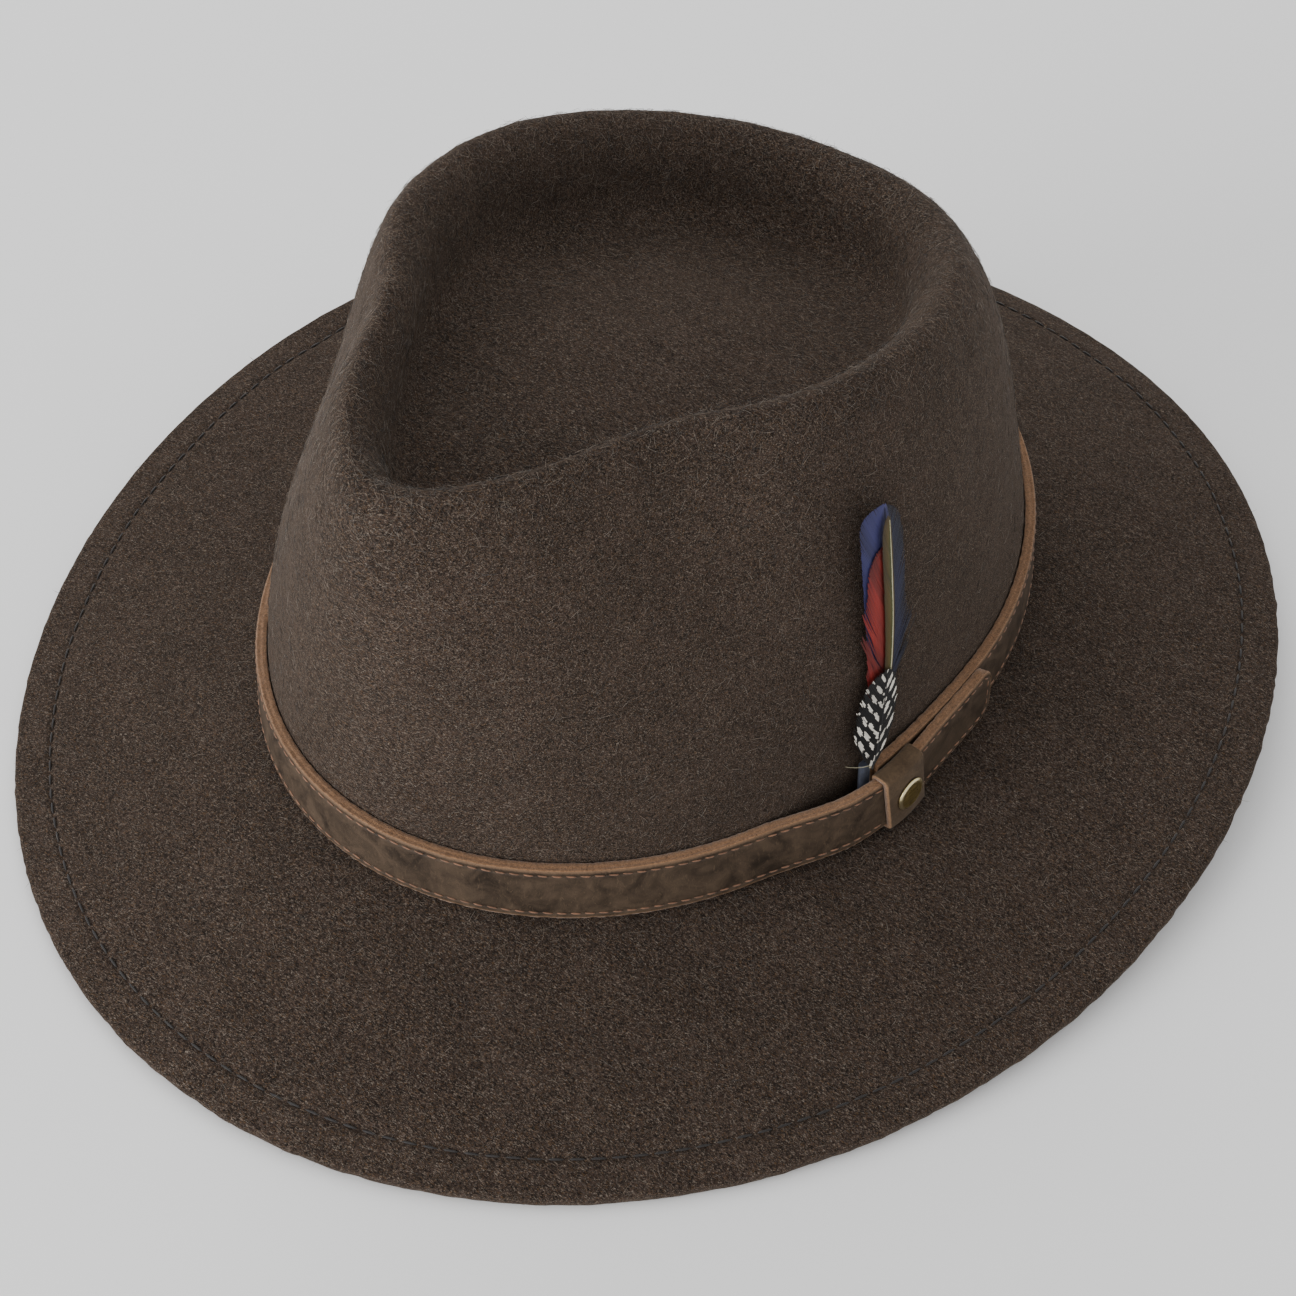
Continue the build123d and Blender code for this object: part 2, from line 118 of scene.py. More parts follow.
@kept
def guide_rings(angle):
    """Guide rings from the brim edge, over the break and the rim, to the middle of the dent."""
    edge, corner = brim_edge(angle), break_ring(angle, 2.5, -0.35)
    rings = [edge + (corner - edge) * share for share in (0, 0.25, 0.5, 0.75)]
    rings += [corner, break_ring(angle, 0, 0), break_ring(angle, 0, 2.5), break_ring(angle, -0.4, 14)]
    wide, narrow = rim_half_length + rim_round, rim_half_width + rim_round
    for share, pinched in ((0.36, 0), (0.60, 0.6), (0.82, 1)):
        g = share ** wall_flare
        rings.append(ring(angle, g * rim_shift, base_half_length + (wide - base_half_length) * g,
                          base_half_width + (narrow - base_half_width) * g, nose_taper * g ** 1.5,
                          crown_height * share, front_rise * share,
                          side_rise * share - break_saddle * (1 - share), nose_reach * g, pinch_depth * pinched))
    for out, up, pinched in ((0.75, -0.19, 1), (0, 0.35, 0.9), (-0.8, -0.3, 0.8)):
        rings.append(ring(angle, rim_shift, rim_half_length + out * rim_round, rim_half_width + out * rim_round,
                          nose_taper, crown_height + up * rim_round, front_rise, side_rise, nose_reach,
                          pinch_depth * pinched))
    foot = rim_round + dent_lean
    rings.append(ring(angle, rim_shift, rim_half_length - rim_round - dent_lean / 2,
                      rim_half_width - rim_round - dent_lean / 2, nose_taper, crown_height - 0.55 * dent_depth,
                      front_rise, side_rise, nose_reach, pinch_depth / 2))
    for share, taper, depth, front, side, reach in ((1, 0.95, 1, 1, 0.6, 1), (0.72, 0.8, 0.97, 0.9, 0.4, 0.7),
                                                    (0.38, 0.5, 1, 0.5, 0, 0)):
        rise = dent_dome if share < 0.5 else 0
        rings.append(ring(angle, rim_shift, share * (rim_half_length - foot), share * (rim_half_width - foot),
                          taper * nose_taper, crown_height - depth * dent_depth + rise, front * front_rise,
                          side * side_rise, reach * nose_reach))
    rings.append(ring(angle, rim_shift, 0.5, 0.5, 0, crown_height - dent_depth + 1.25 * dent_dome))
    return np.array([rings[0] * 2 - rings[1]] + rings + [rings[-1] * 2 - rings[-2]])


def felt_point(angle, level):
    """Points of the outer face at angles and levels: level 0 is the brim edge, 5 the break, 18 the dent's middle."""
    angle, level = np.broadcast_arrays(np.asarray(angle, float), np.asarray(level, float))
    rings = guide_rings(angle)
    i = np.clip(level.astype(int), 0, last_level - 1)
    w = level - i
    blend = ((1 - w) ** 3, 3 * w ** 3 - 6 * w ** 2 + 4, 1 + 3 * w + 3 * w ** 2 - 3 * w ** 3, w ** 3)
    picked = [np.take_along_axis(rings, (i + k)[None, ..., None], 0)[0] for k in range(4)]
    return sum(b[..., None] / 6 * p for b, p in zip(blend, picked))


def unit(v):
    return v / np.maximum(np.linalg.norm(v, axis=-1, keepdims=True), 1e-9)


def felt_normal(angle, level):
    angle, level = np.broadcast_arrays(np.asarray(angle, float), np.asarray(level, float))
    up = felt_point(angle, np.minimum(level + 0.01, last_level)) - felt_point(angle, np.maximum(level - 0.01, 0))
    along = felt_point(angle + 0.5, level) - felt_point(angle - 0.5, level)
    normal = unit(np.cross(along, up))
    top = (level >= last_level - 1e-6)[..., None]
    return np.where(top, np.array([0.0, 0.0, 1.0]), normal)


def wall_level(angle, height):
    """The levels at which the crown's wall is a height over the break line."""
    angle, height = np.broadcast_arrays(np.asarray(angle, float), np.asarray(height, float))
    low, high = np.full(angle.shape, float(break_level)), np.full(angle.shape, break_level + 5.0)
    target = felt_point(angle, low)[..., 2] + height
    for _ in range(22):
        middle = (low + high) / 2
        under = felt_point(angle, middle)[..., 2] < target
        low, high = np.where(under, middle, low), np.where(under, high, middle)
    return low


strap_middle = band_low + band_height / 2


@kept
def wall_frame(angle):
    """Middle, up and outward directions of the straight strip of wall that the band lies on."""
    angle = angle % 360
    low = felt_point(angle, wall_level(angle, band_low + 1))
    high = felt_point(angle, wall_level(angle, band_low + band_height - 1))
    before, after = (felt_point(angle + d, wall_level(angle + d, strap_middle)) for d in (-0.5, 0.5))
    up = unit(high - low)
    return (low + high) / 2, up, unit(np.cross(after - before, up))


def wall_point(angle, height, offset):
    middle, up, out = wall_frame(angle)
    return middle + up * (np.asarray(height) - strap_middle)[..., None] + out * np.asarray(offset)[..., None]


def climb(angle, start, full):
    share = np.clip((angle - start) / (full - start), 0, 1)
    return share * share * (3 - 2 * share)


def strap_offset(turned):
    """Offset of the strap's inner face. The angle goes on past 360 where the strap laps itself."""
    turned = np.asarray(turned, float)
    under = (rivet_back_thick + play) * np.exp(-(((turned % 360 - keeper_angle) / rivet_back_spread) ** 2))
    over = strap + play + stand_off * np.exp(-(((turned - 360 - stand_angle) / stand_width) ** 2))
    return band_gap + under + over * climb(turned, 360 + lap_start, 360 + lap_full)


# ---- Mesh helpers ----
def add_object(name, data):
    obj = bpy.data.objects.new(name, data)
    bpy.context.scene.collection.objects.link(obj)
    return obj


def new_piece(name, verts, faces, body, replaced, slot, materials, material_index=None, smooth=True, values=None):
    """A closed mesh piece in metres from arrays in millimetres, its faces turned outwards, riding on a body."""
    verts = np.asarray(verts)
    fan = np.array([(f[0], f[k], f[k + 1]) for f in faces for k in range(1, len(f) - 1)])
    a, b, c = (verts[fan[:, k]] for k in range(3))
    inside_out = np.sum(a * np.cross(b, c)) < 0
    mesh = bpy.data.meshes.new(name)
    mesh.from_pydata((verts * MM).tolist(), [], [tuple(f[::-1]) if inside_out else tuple(f) for f in faces])
    for key, value in (values or {}).items():
        layer = mesh.attributes.new(key, "FLOAT", "POINT")
        layer.data.foreach_set("value", np.asarray(value, np.float32).ravel())
    for material in materials:
        mesh.materials.append(material)
    if material_index is not None:
        mesh.polygons.foreach_set("material_index", np.asarray(material_index, np.int32))
    mesh.polygons.foreach_set("use_smooth", np.full(len(mesh.polygons), smooth))
    mesh.update()
    obj = add_object(name, mesh)
    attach(obj, body)
    if replaced:
        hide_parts(*replaced)


def grid_faces(rows, columns, closed_columns=True, closed_rows=False, start=0):
    """Quads of a grid of rows by columns of points."""
    r = np.arange(rows if closed_rows else rows - 1)
    c = np.arange(columns if closed_columns else columns - 1)
    r, c = np.meshgrid(r, c, indexing="ij")
    r2, c2 = (r + 1) % rows, (c + 1) % columns
    quads = np.stack([r * columns + c, r * columns + c2, r2 * columns + c2, r2 * columns + c], -1)
    return (quads.reshape(-1, 4) + start).tolist()


def capped(rows, columns, start=0):
    """Faces of a closed tube: its rows of points joined up and its two ends filled."""
    faces = grid_faces(rows, columns, start=start)
    faces.append([start + c for c in range(columns)][::-1])
    faces.append([start + (rows - 1) * columns + c for c in range(columns)])
    return faces


def full_turn(columns):
    return np.arange(columns) * 360 / columns


def smooth_noise(points, scale, seed, octaves=3):
    """Soft value noise in space, about -1 to 1, from sums of sine waves in seeded directions."""
    local = np.random.default_rng(seed)
    total = np.zeros(points.shape[:-1])
    for octave in range(octaves):
        for _ in range(6):
            direction = unit(local.normal(size=3)) * (2 ** octave / scale) * local.uniform(0.7, 1.3)
            total += np.sin(2 * np.pi * (points @ direction) + local.uniform(0, 2 * np.pi)) / 6 ** 0.5 / 2 ** octave
    return total / 1.6


# ---- Shader helpers ----
class Shader:
    """A material's node tree, written as short calls."""

    def __init__(self, name):
        self.material = bpy.data.materials.new(name)
        self.material.use_nodes = True
        self.tree = self.material.node_tree
        self.bsdf = self.tree.nodes["Principled BSDF"]
        self.place = self.node("ShaderNodeTexCoord").outputs["Object"]

    def node(self, kind, **values):
        node = self.tree.nodes.new(kind)
        for key, value in values.items():
            setattr(node, key, value)
        return node

    def link(self, source, socket):
        self.tree.links.new(source, socket)

    def put(self, socket, value):
        if isinstance(value, bpy.types.NodeSocket):
            self.link(value, socket)
        else:
            socket.default_value = value

    def scaled(self, x, y, z, turn=(0, 0, 0)):
        mapping = self.node("ShaderNodeMapping")
        mapping.inputs["Scale"].default_value = (x, y, z)
        mapping.inputs["Rotation"].default_value = turn
        self.link(self.place, mapping.inputs["Vector"])
        return mapping.outputs["Vector"]

    def noise(self, size_mm, detail=2.0, rough=0.5, distortion=0.0, vector=None, kind="FBM"):
        """Noise whose grains are about size_mm wide."""
        node = self.node("ShaderNodeTexNoise", noise_type=kind)
        node.inputs["Scale"].default_value = 1 / (size_mm * MM)
        node.inputs["Detail"].default_value = detail
        node.inputs["Roughness"].default_value = rough
        node.inputs["Distortion"].default_value = distortion
        self.link(vector or self.place, node.inputs["Vector"])
        return node.outputs["Fac"]

    def ramp(self, value, *stops):
        """Colours or greys between positions, as (position, colour) pairs."""
        node = self.node("ShaderNodeValToRGB")
        elements = node.color_ramp.elements
        while len(elements) < len(stops):
            elements.new(0.5)
        for element, (position, colour) in zip(elements, stops):
            element.position = position
            element.color = (colour, colour, colour, 1) if isinstance(colour, (int, float)) else (*colour, 1)
        self.link(value, node.inputs["Fac"])
        return node.outputs["Color"]

    def mix(self, factor, a, b, mode="MIX"):
        node = self.node("ShaderNodeMix", data_type="RGBA", blend_type=mode)
        self.put(node.inputs[0], factor)
        for socket, value in ((node.inputs[6], a), (node.inputs[7], b)):
            self.put(socket, value if isinstance(value, bpy.types.NodeSocket) else (*value, 1))
        return node.outputs[2]

    def math(self, operation, a, b=0.0):
        node = self.node("ShaderNodeMath", operation=operation)
        self.put(node.inputs[0], a)
        self.put(node.inputs[1], b)
        return node.outputs[0]

    def attribute(self, name):
        return self.node("ShaderNodeAttribute", attribute_name=name).outputs["Fac"]

    def ragged_rim(self, size_mm, amount):
        """The mesh's rim value, made uneven by noise."""
        uneven = self.math("SUBTRACT", self.noise(size_mm, 3, 0.7), 0.5)
        return self.math("ADD", self.attribute("rim"), self.math("MULTIPLY", uneven, amount))

    def bump(self, height, strength, distance_mm, under=None):
        node = self.node("ShaderNodeBump")
        node.inputs["Strength"].default_value = strength
        node.inputs["Distance"].default_value = distance_mm * MM
        self.link(height, node.inputs["Height"])
        if under is not None:
            self.link(under, node.inputs["Normal"])
        return node.outputs["Normal"]

    def finish(self, colour, roughness, normal=None, **constants):
        self.put(self.bsdf.inputs["Base Color"], colour)
        self.put(self.bsdf.inputs["Roughness"], roughness)
        if normal is not None:
            self.link(normal, self.bsdf.inputs["Normal"])
        for key, value in constants.items():
            self.bsdf.inputs[key.replace("_", " ")].default_value = value
        return self.material


def shade(colour, amount):
    return tuple(min(1, c * amount) for c in colour)


def srgb(r, g, b):
    """A linear colour from 0 to 255 display values."""
    return tuple(c / 12.92 if c <= 0.04045 else ((c + 0.055) / 1.055) ** 2.4 for c in (r / 255, g / 255, b / 255))


# ---- Materials ----
def felt_material():
    """Melange wool felt: dark brown ground with fine grey, ochre and near-black fibres."""
    s = Shader("wool_felt")
    ground = s.mix(s.ramp(s.noise(0.8, 3, 0.65, 0.6), (0.36, 0.0), (0.64, 1.0)), srgb(27, 22, 19), srgb(60, 49, 43))
    clouds = s.ramp(s.noise(12, 5, 0.7), (0.32, 0.74), (0.68, 1.24))
    colour = s.mix(1.0, ground, clouds, "MULTIPLY")
    fibres = (
        (0.62, 5.0, (0.6, 0.3, 0.2), srgb(118, 106, 95), 0.57, 0.75),
        (0.70, 6.0, (1.9, 0.5, 1.1), srgb(92, 69, 46), 0.57, 0.70),
        (0.62, 5.0, (0.2, 2.1, 0.7), srgb(136, 126, 115), 0.61, 0.75),
        (0.80, 6.0, (1.1, 1.3, 2.0), srgb(13, 10, 9), 0.53, 0.85),
    )
    for size, stretch, turn, tint, threshold, amount in fibres:
        grain = s.noise(size, 1.0, 0.5, 1.2, s.scaled(1.0, stretch / 2, stretch / 2, turn))
        mask = s.ramp(grain, (threshold, 0.0), (threshold + 0.14, amount))
        colour = s.mix(mask, colour, tint)
    fine = s.noise(0.6, 3, 0.7, 1.5)
    soft = s.noise(3.2, 3, 0.6)
    normal = s.bump(soft, 0.30, 0.4, s.bump(fine, 0.55, 0.25))
    return s.finish(colour, 0.95, normal, Sheen_Weight=0.12, Sheen_Roughness=0.5,
                    Sheen_Tint=(*srgb(170, 150, 132), 1), Specular_IOR_Level=0.12)


def fibre_material(name, colour):
    s = Shader(name)
    tone = s.mix(s.noise(4, 2), shade(colour, 0.7), shade(colour, 1.3))
    return s.finish(tone, 0.8, Sheen_Weight=0.2, Specular_IOR_Level=0.25)


def thread_material(name, colour, twist_mm=0.5):
    """Sewing thread: fine twist lines and a little colour change from stitch to stitch."""
    s = Shader(name)
    tone = s.mix(s.ramp(s.noise(1.6, 2), (0.3, 0.0), (0.7, 1.0)), shade(colour, 0.62), shade(colour, 1.28))
    twist = s.noise(twist_mm, 1, 0.5, 0, s.scaled(1, 1, 2.6, (0.5, 0.4, 0.3)))
    return s.finish(tone, 0.62, s.bump(twist, 0.6, 0.08), Sheen_Weight=0.15)


def band_face_material():
    """Oiled pull-up leather: dark olive brown with paler rubbed patches, fine creases and worn rims."""
    s = Shader("band_face_leather")
    cloud = s.ramp(s.noise(7, 4, 0.65, 0.8), (0.32, 0.0), (0.68, 1.0))
    tone = s.mix(cloud, srgb(41, 32, 24), srgb(80, 65, 51))
    rubbed = s.ramp(s.noise(1.1, 3, 0.7, 2.0, s.scaled(1, 1, 0.35)), (0.56, 0.0), (0.72, 0.55))
    tone = s.mix(rubbed, tone, srgb(96, 79, 62))
    specks = s.ramp(s.noise(0.5, 2, 0.7), (0.62, 0.0), (0.75, 0.5))
    tone = s.mix(specks, tone, srgb(27, 22, 18))
    worn = s.ramp(s.ragged_rim(0.6, 0.9), (0.35, 0.0), (0.95, 0.8))
    tone = s.mix(worn, tone, srgb(120, 93, 70))
    grain = s.noise(0.45, 3, 0.6, 0.4)
    crease = s.noise(2.4, 4, 0.6, 1.5)
    normal = s.bump(crease, 0.25, 0.3, s.bump(grain, 0.35, 0.12))
    rough = s.ramp(cloud, (0.0, 0.55), (1.0, 0.74))
    return s.finish(tone, rough, normal, Specular_IOR_Level=0.28)


def raw_leather_material(name, light, dark):
    """The cut edge or flesh side of leather: short fibres and pores."""
    s = Shader(name)
    fibre = s.ramp(s.noise(0.55, 4, 0.75, 0.8), (0.3, 0.0), (0.62, 1.0))
    tone = s.mix(fibre, dark, light)
    tone = s.mix(s.ramp(s.noise(3.5, 3, 0.6), (0.35, 0.0), (0.75, 0.45)), tone, shade(light, 0.62))
    pores = s.ramp(s.noise(0.33, 2, 0.6), (0.60, 0.0), (0.70, 0.8))
    tone = s.mix(pores, tone, shade(dark, 0.35))
    normal = s.bump(s.noise(0.4, 4, 0.75), 0.9, 0.22)
    return s.finish(tone, 0.9, normal, Sheen_Weight=0.25, Specular_IOR_Level=0.2)


def nubuck_material():
    s = Shader("keeper_nubuck")
    cloud = s.ramp(s.noise(4.5, 4, 0.6, 0.6), (0.3, 0.0), (0.7, 1.0))
    tone = s.mix(cloud, srgb(72, 57, 43), srgb(98, 80, 61))
    nap = s.ramp(s.noise(0.5, 3, 0.7, 0.6), (0.4, 0.0), (0.72, 0.55))
    tone = s.mix(nap, tone, srgb(56, 45, 35))
    tone = s.mix(s.ramp(s.ragged_rim(0.5, 0.8), (0.5, 0.0), (0.8, 1.0)), tone, srgb(138, 108, 82))
    return s.finish(tone, 0.85, s.bump(s.noise(0.4, 4, 0.7), 0.5, 0.15), Sheen_Weight=0.08,
                    Sheen_Roughness=0.4, Specular_IOR_Level=0.15)


def smooth_leather_material(name, light, dark):
    s = Shader(name)
    tone = s.mix(s.ramp(s.noise(9, 3, 0.6), (0.3, 0.0), (0.7, 1.0)), dark, light)
    voronoi = s.node("ShaderNodeTexVoronoi", feature="DISTANCE_TO_EDGE")
    voronoi.inputs["Scale"].default_value = 1 / (0.9 * MM)
    s.link(s.place, voronoi.inputs["Vector"])
    cells = s.ramp(voronoi.outputs["Distance"], (0.0, 0.0), (0.16, 1.0))
    tone = s.mix(s.ramp(cells, (0.0, 0.35), (1.0, 0.0)), tone, shade(dark, 0.5))
    normal = s.bump(cells, 0.4, 0.1, s.bump(s.noise(5, 3), 0.3, 0.4))
    return s.finish(tone, 0.5, normal, Specular_IOR_Level=0.4)


def brass_material():
    """Antique brass: brushed face, dark patina in the hollows and a painted highlight along the rolled rim."""
    s = Shader("antique_brass")
    brushed = s.noise(0.5, 3, 0.6, 0.2, s.scaled(1, 0.12, 1, (0.4, 0, 0)))
    tone = s.mix(s.ramp(brushed, (0.35, 0.0), (0.65, 1.0)), srgb(172, 152, 92), srgb(206, 186, 126))
    patina = s.ramp(s.noise(1.3, 4, 0.65, 0.5), (0.52, 0.0), (0.70, 0.5))
    tone = s.mix(patina, tone, srgb(72, 62, 40))
    # painted highlight: where the rim value is high, the cap's rolled rim is painted pale and bright
    tone = s.mix(s.ramp(s.attribute("rim"), (0.35, 0.0), (0.9, 1.0)), tone, srgb(236, 222, 178))
    rough = s.ramp(s.noise(0.8, 3, 0.7), (0.3, 0.26), (0.7, 0.44))
    return s.finish(tone, rough, s.bump(brushed, 0.12, 0.05), Metallic=1.0)


def feather_material(name, *stops, streak=0.35):
    """Feather barbs: colours from the shaft or foot (0) to the tips (1), with streaks from barb to barb."""
    s = Shader(name)
    tone = s.ramp(s.attribute("reach"), *stops)
    streaks = s.ramp(s.attribute("barb"), (0.0, 1 - streak), (1.0, 1 + streak))
    tone = s.mix(1.0, tone, streaks, "MULTIPLY")
    return s.finish(tone, 0.55, Sheen_Weight=0.08, Sheen_Roughness=0.35, Specular_IOR_Level=0.35)


def guinea_material():
    """Black feather with oval white spots, set in the barbs' own grid."""
    s = Shader("guinea_barbs")
    tone = s.mix(s.ramp(s.attribute("spot"), (0.45, 0.0), (0.55, 1.0)), srgb(9, 9, 10), srgb(214, 209, 198))
    streaks = s.ramp(s.attribute("barb"), (0.0, 0.8), (1.0, 1.15))
    return s.finish(s.mix(1.0, tone, streaks, "MULTIPLY"), 0.5, Sheen_Weight=0.03, Specular_IOR_Level=0.3)


def plain_material(name, colour, rough, grain_mm):
    s = Shader(name)
    tone = s.mix(s.noise(grain_mm, 3, 0.6), shade(colour, 0.75), shade(colour, 1.25))
    return s.finish(tone, rough, s.bump(s.noise(grain_mm, 3, 0.6), 0.4, 0.1))


felt_look = felt_material()
fuzz_looks = [fibre_material("fibre_grey", srgb(118, 107, 95)), fibre_material("fibre_ochre", srgb(94, 72, 50)),
              fibre_material("fibre_dark", srgb(26, 21, 18))]
felt_thread_look = thread_material("felt_thread_look", srgb(24, 18, 15))
band_thread_look = thread_material("band_thread_look", srgb(122, 86, 62))
band_look = band_face_material()
raw_look = raw_leather_material("raw_tan_edge", srgb(156, 118, 86), srgb(88, 60, 38))
suede_look = raw_leather_material("suede_back", srgb(140, 112, 86), srgb(92, 70, 50))
nubuck_look = nubuck_material()
brass_look = brass_material()
sweat_look = smooth_leather_material("sweatband_leather", srgb(94, 68, 50), srgb(66, 47, 35))
tape_look = plain_material("woven_tape", srgb(58, 45, 38), 0.9, 0.5)
reed_look = plain_material("reed_plastic", srgb(64, 52, 44), 0.4, 2.0)
binding_look = thread_material("binding_thread_look", srgb(48, 53, 68), 0.35)


# ---- Felt body ----
brim_width = brim_half_width - base_half_width
stitch_from_edge = hem_width - 1


def unevenness(angle, level, points):
    """The hand-blocked felt is never quite even, but for its edge, its fit under the band and the trim's path."""
    calm = 1 - np.exp(-(((angle % 360 - calm_angle) / calm_width) ** 4))
    brim = np.clip((break_level - level) / 0.5, 0, 1) * np.clip(level / 0.1, 0, 1)
    share = brim + climb(level, break_level + 2.25, break_level + 3.5)
    return calm * share * (uneven_wide * smooth_noise(points, 46, 3) + uneven_fine * smooth_noise(points, 11, 4, 2))


def stitch_groove(level):
    """Depth of the groove that the hem's stitches pull into the brim."""
    from_edge = level * brim_width / 4
    return 0.42 * np.exp(-(((from_edge - stitch_from_edge) / 0.8) ** 2))


def make_felt():
    """The hood as rows of points: down its outer face, round the brim's edge, back under the hem and up inside."""
    columns = 540
    angle = full_turn(columns)
    near_stitch, groove = stitch_from_edge * 4 / brim_width, 0.14
    outer = np.unique(np.round(np.concatenate([
        np.linspace(0, near_stitch - groove, 8), np.linspace(near_stitch - groove, near_stitch + groove, 15),
        np.linspace(near_stitch + groove, 4, 26), np.linspace(4, 7, 22), np.linspace(7, 10, 42),
        np.linspace(10, 16, 60), np.linspace(16, last_level - 0.02, 22)]), 5))
    hem_level = hem_width * 4 / brim_width
    under = outer[outer > hem_level + 0.06]
    edge = felt + hem_felt
    rows = []

    def row(level, depth, out=0.0):
        points, normal = felt_point(angle, level), felt_normal(angle, level)
        away = unit(points - felt_point(angle, level + 0.2)) * out
        ragged = 1 + 0.22 * smooth_noise(points, 5, 9, 2)
        wave = unevenness(angle, level, points)
        rows.append(points + normal * (wave - depth)[:, None] + away * ragged[:, None])

    for level in outer[::-1]:
        row(level, stitch_groove(level))
    for share, out in ((0.06, 0.55), (0.28, 0.95), (0.5, 1.0), (0.72, 0.95), (0.94, 0.55)):
        row(0.0, edge * share, out)
    hem = np.concatenate([np.linspace(0, near_stitch - groove, 6), np.linspace(near_stitch - groove, hem_level, 14)])
    for level in hem:
        row(level, edge - stitch_groove(level) * 0.8)
    for level, depth in ((hem_level + 0.015, edge - 0.25), (hem_level + 0.03, felt + 0.4), (hem_level + 0.05, felt)):
        row(level, depth)
    for level in under:
        row(level, felt)
    faces = [f[::-1] for f in capped(len(rows), columns)]
    new_piece("felt_hood", np.concatenate(rows), faces, "hat", ["felt_body"], "felt", [felt_look])


def tubes(starts, ends, out, radius, arch, sides=6, rings=6):
    """Short lengths of thread as closed tubes with rounded ends, arched away from the surface in their middles."""
    starts, ends, out = (np.asarray(a, float) for a in (starts, ends, out))
    count = len(starts)
    along = unit(ends - starts)
    side = unit(np.cross(along, out))
    share = np.linspace(0, 1, rings)
    swell = np.sqrt(np.clip(1 - (2 * share - 1) ** 4, 0.05, 1))
    turn = np.arange(sides) * 2 * np.pi / sides
    centre = starts[:, None] + (ends - starts)[:, None] * share[None, :, None]
    centre = centre + out[:, None] * (arch * np.sin(np.pi * share))[None, :, None]
    circle = (side[:, None, None] * np.cos(turn)[None, None, :, None]
              + out[:, None, None] * np.sin(turn)[None, None, :, None])
    verts = centre[:, :, None] + circle * (radius * swell)[None, :, None, None]
    faces = [f for i in range(count) for f in capped(rings, sides, i * rings * sides)]
    return verts.reshape(-1, 3), faces


def along_path(points, pitch, share):
    """Start and end of each stitch at an even pitch along a line of points."""
    lengths = np.linalg.norm(np.diff(points, axis=0), axis=1)
    travelled = np.concatenate([[0], np.cumsum(lengths)])
    count = max(1, int(round(travelled[-1] / pitch)))
    step = travelled[-1] / count
    begin = (np.arange(count) + (1 - share) / 2) * step
    spots = [np.stack([np.interp(begin + extra, travelled, points[:, k]) for k in range(3)], -1)
             for extra in (0, share * step)]
    middle = np.interp(begin + share * step / 2, travelled, np.arange(len(points)))
    return spots[0], spots[1], middle


def between(rows, place):
    """Unit vectors between the rows of an array, at row numbers that need not be whole."""
    return unit(np.stack([np.interp(place, np.arange(len(rows)), rows[:, k]) for k in range(3)], -1))


def joined(parts):
    """One list of points and one of faces from several."""
    verts, faces, base = [], [], 0
    for points, part_faces in parts:
        faces += [[i + base for i in f] for f in part_faces]
        verts.append(points)
        base += len(points)
    return np.concatenate(verts), faces


def make_brim_stitching():
    """The hem's stitches, seen above and below the brim."""
    angle = np.linspace(0, 360, 1441)
    level = stitch_from_edge * 4 / brim_width
    parts = []
    for depth, sign in ((0.30, 1), (felt + hem_felt - 0.25, -1)):
        normal = felt_normal(angle, level)
        line = felt_point(angle, level) + normal * (unevenness(angle, level, felt_point(angle, level)) - depth)[:, None]
        line = line + normal * sign * 0.16
        start, end, middle = along_path(line, brim_pitch, 0.74)
        parts.append(tubes(start, end, between(normal, middle) * sign, brim_stitch, 0.10))
    new_piece("brim_stitches", *joined(parts), "hat", ["brim_stitching"], "felt_thread", [felt_thread_look])


def make_fuzz(count):
    """Loose fibres that lie on the felt, each a thin closed sliver with a bend. The trim's path has none."""
    level = rng.uniform(0, 1, count) ** 0.85 * 16.5
    angle = rng.uniform(0, 360, count)
    keep = (np.abs(level - 5.9) > 1.15) | (rng.uniform(0, 1, count) < 0.02)
    free_low, free_high = fuzz_free_levels
    keep &= (np.abs(angle - fuzz_free_angle) > fuzz_free_half) | (level < free_low) | (level > free_high)
    level, angle = level[keep], angle[keep]
    total = len(level)
    root, normal = felt_point(angle, level), felt_normal(angle, level)
    root = root + normal * unevenness(angle, level, root)[:, None]
    random = unit(np.cross(normal, unit(rng.normal(size=(total, 3)))))
    bend = np.cross(normal, random) * rng.uniform(-0.6, 0.6, total)[:, None]
    length = rng.uniform(1.4, 4.2, total)[:, None]
    lift = (rng.uniform(0, 1, total) ** 3)[:, None] * 0.9
    steps = 4
    spine = []
    for k in range(steps):
        s = k / (steps - 1)
        height = 0.02 + lift * math.sin(math.pi * min(s, 0.8)) * 0.6
        spine.append(root + random * length * s + bend * length * s * s + normal * height)
    spine = np.stack(spine, 1)
    side, width = np.cross(normal, random), rng.uniform(0.022, 0.040, total)[:, None]
    verts = [spine[:, 0]]
    for k in (1, 2):
        for a, b in ((1, 0), (-0.5, 0.86), (-0.5, -0.86)):
            verts.append(spine[:, k] + (side * a + normal * b) * width)
    verts.append(spine[:, 3])
    verts = np.stack(verts, 1)
    pattern = [(0, 1, 2), (0, 2, 3), (0, 3, 1), (1, 4, 5, 2), (2, 5, 6, 3), (3, 6, 4, 1),
               (4, 7, 5), (5, 7, 6), (6, 7, 4)]
    base = np.arange(total) * 8
    faces, index = [], []
    kinds = rng.choice(3, total, p=(0.30, 0.22, 0.48))
    for face in pattern:
        faces += (base[:, None] + np.array(face)[None]).tolist()
        index.append(kinds)
    new_piece("felt_fibres", verts.reshape(-1, 3), faces, "hat", [], "felt", fuzz_looks, np.concatenate(index))


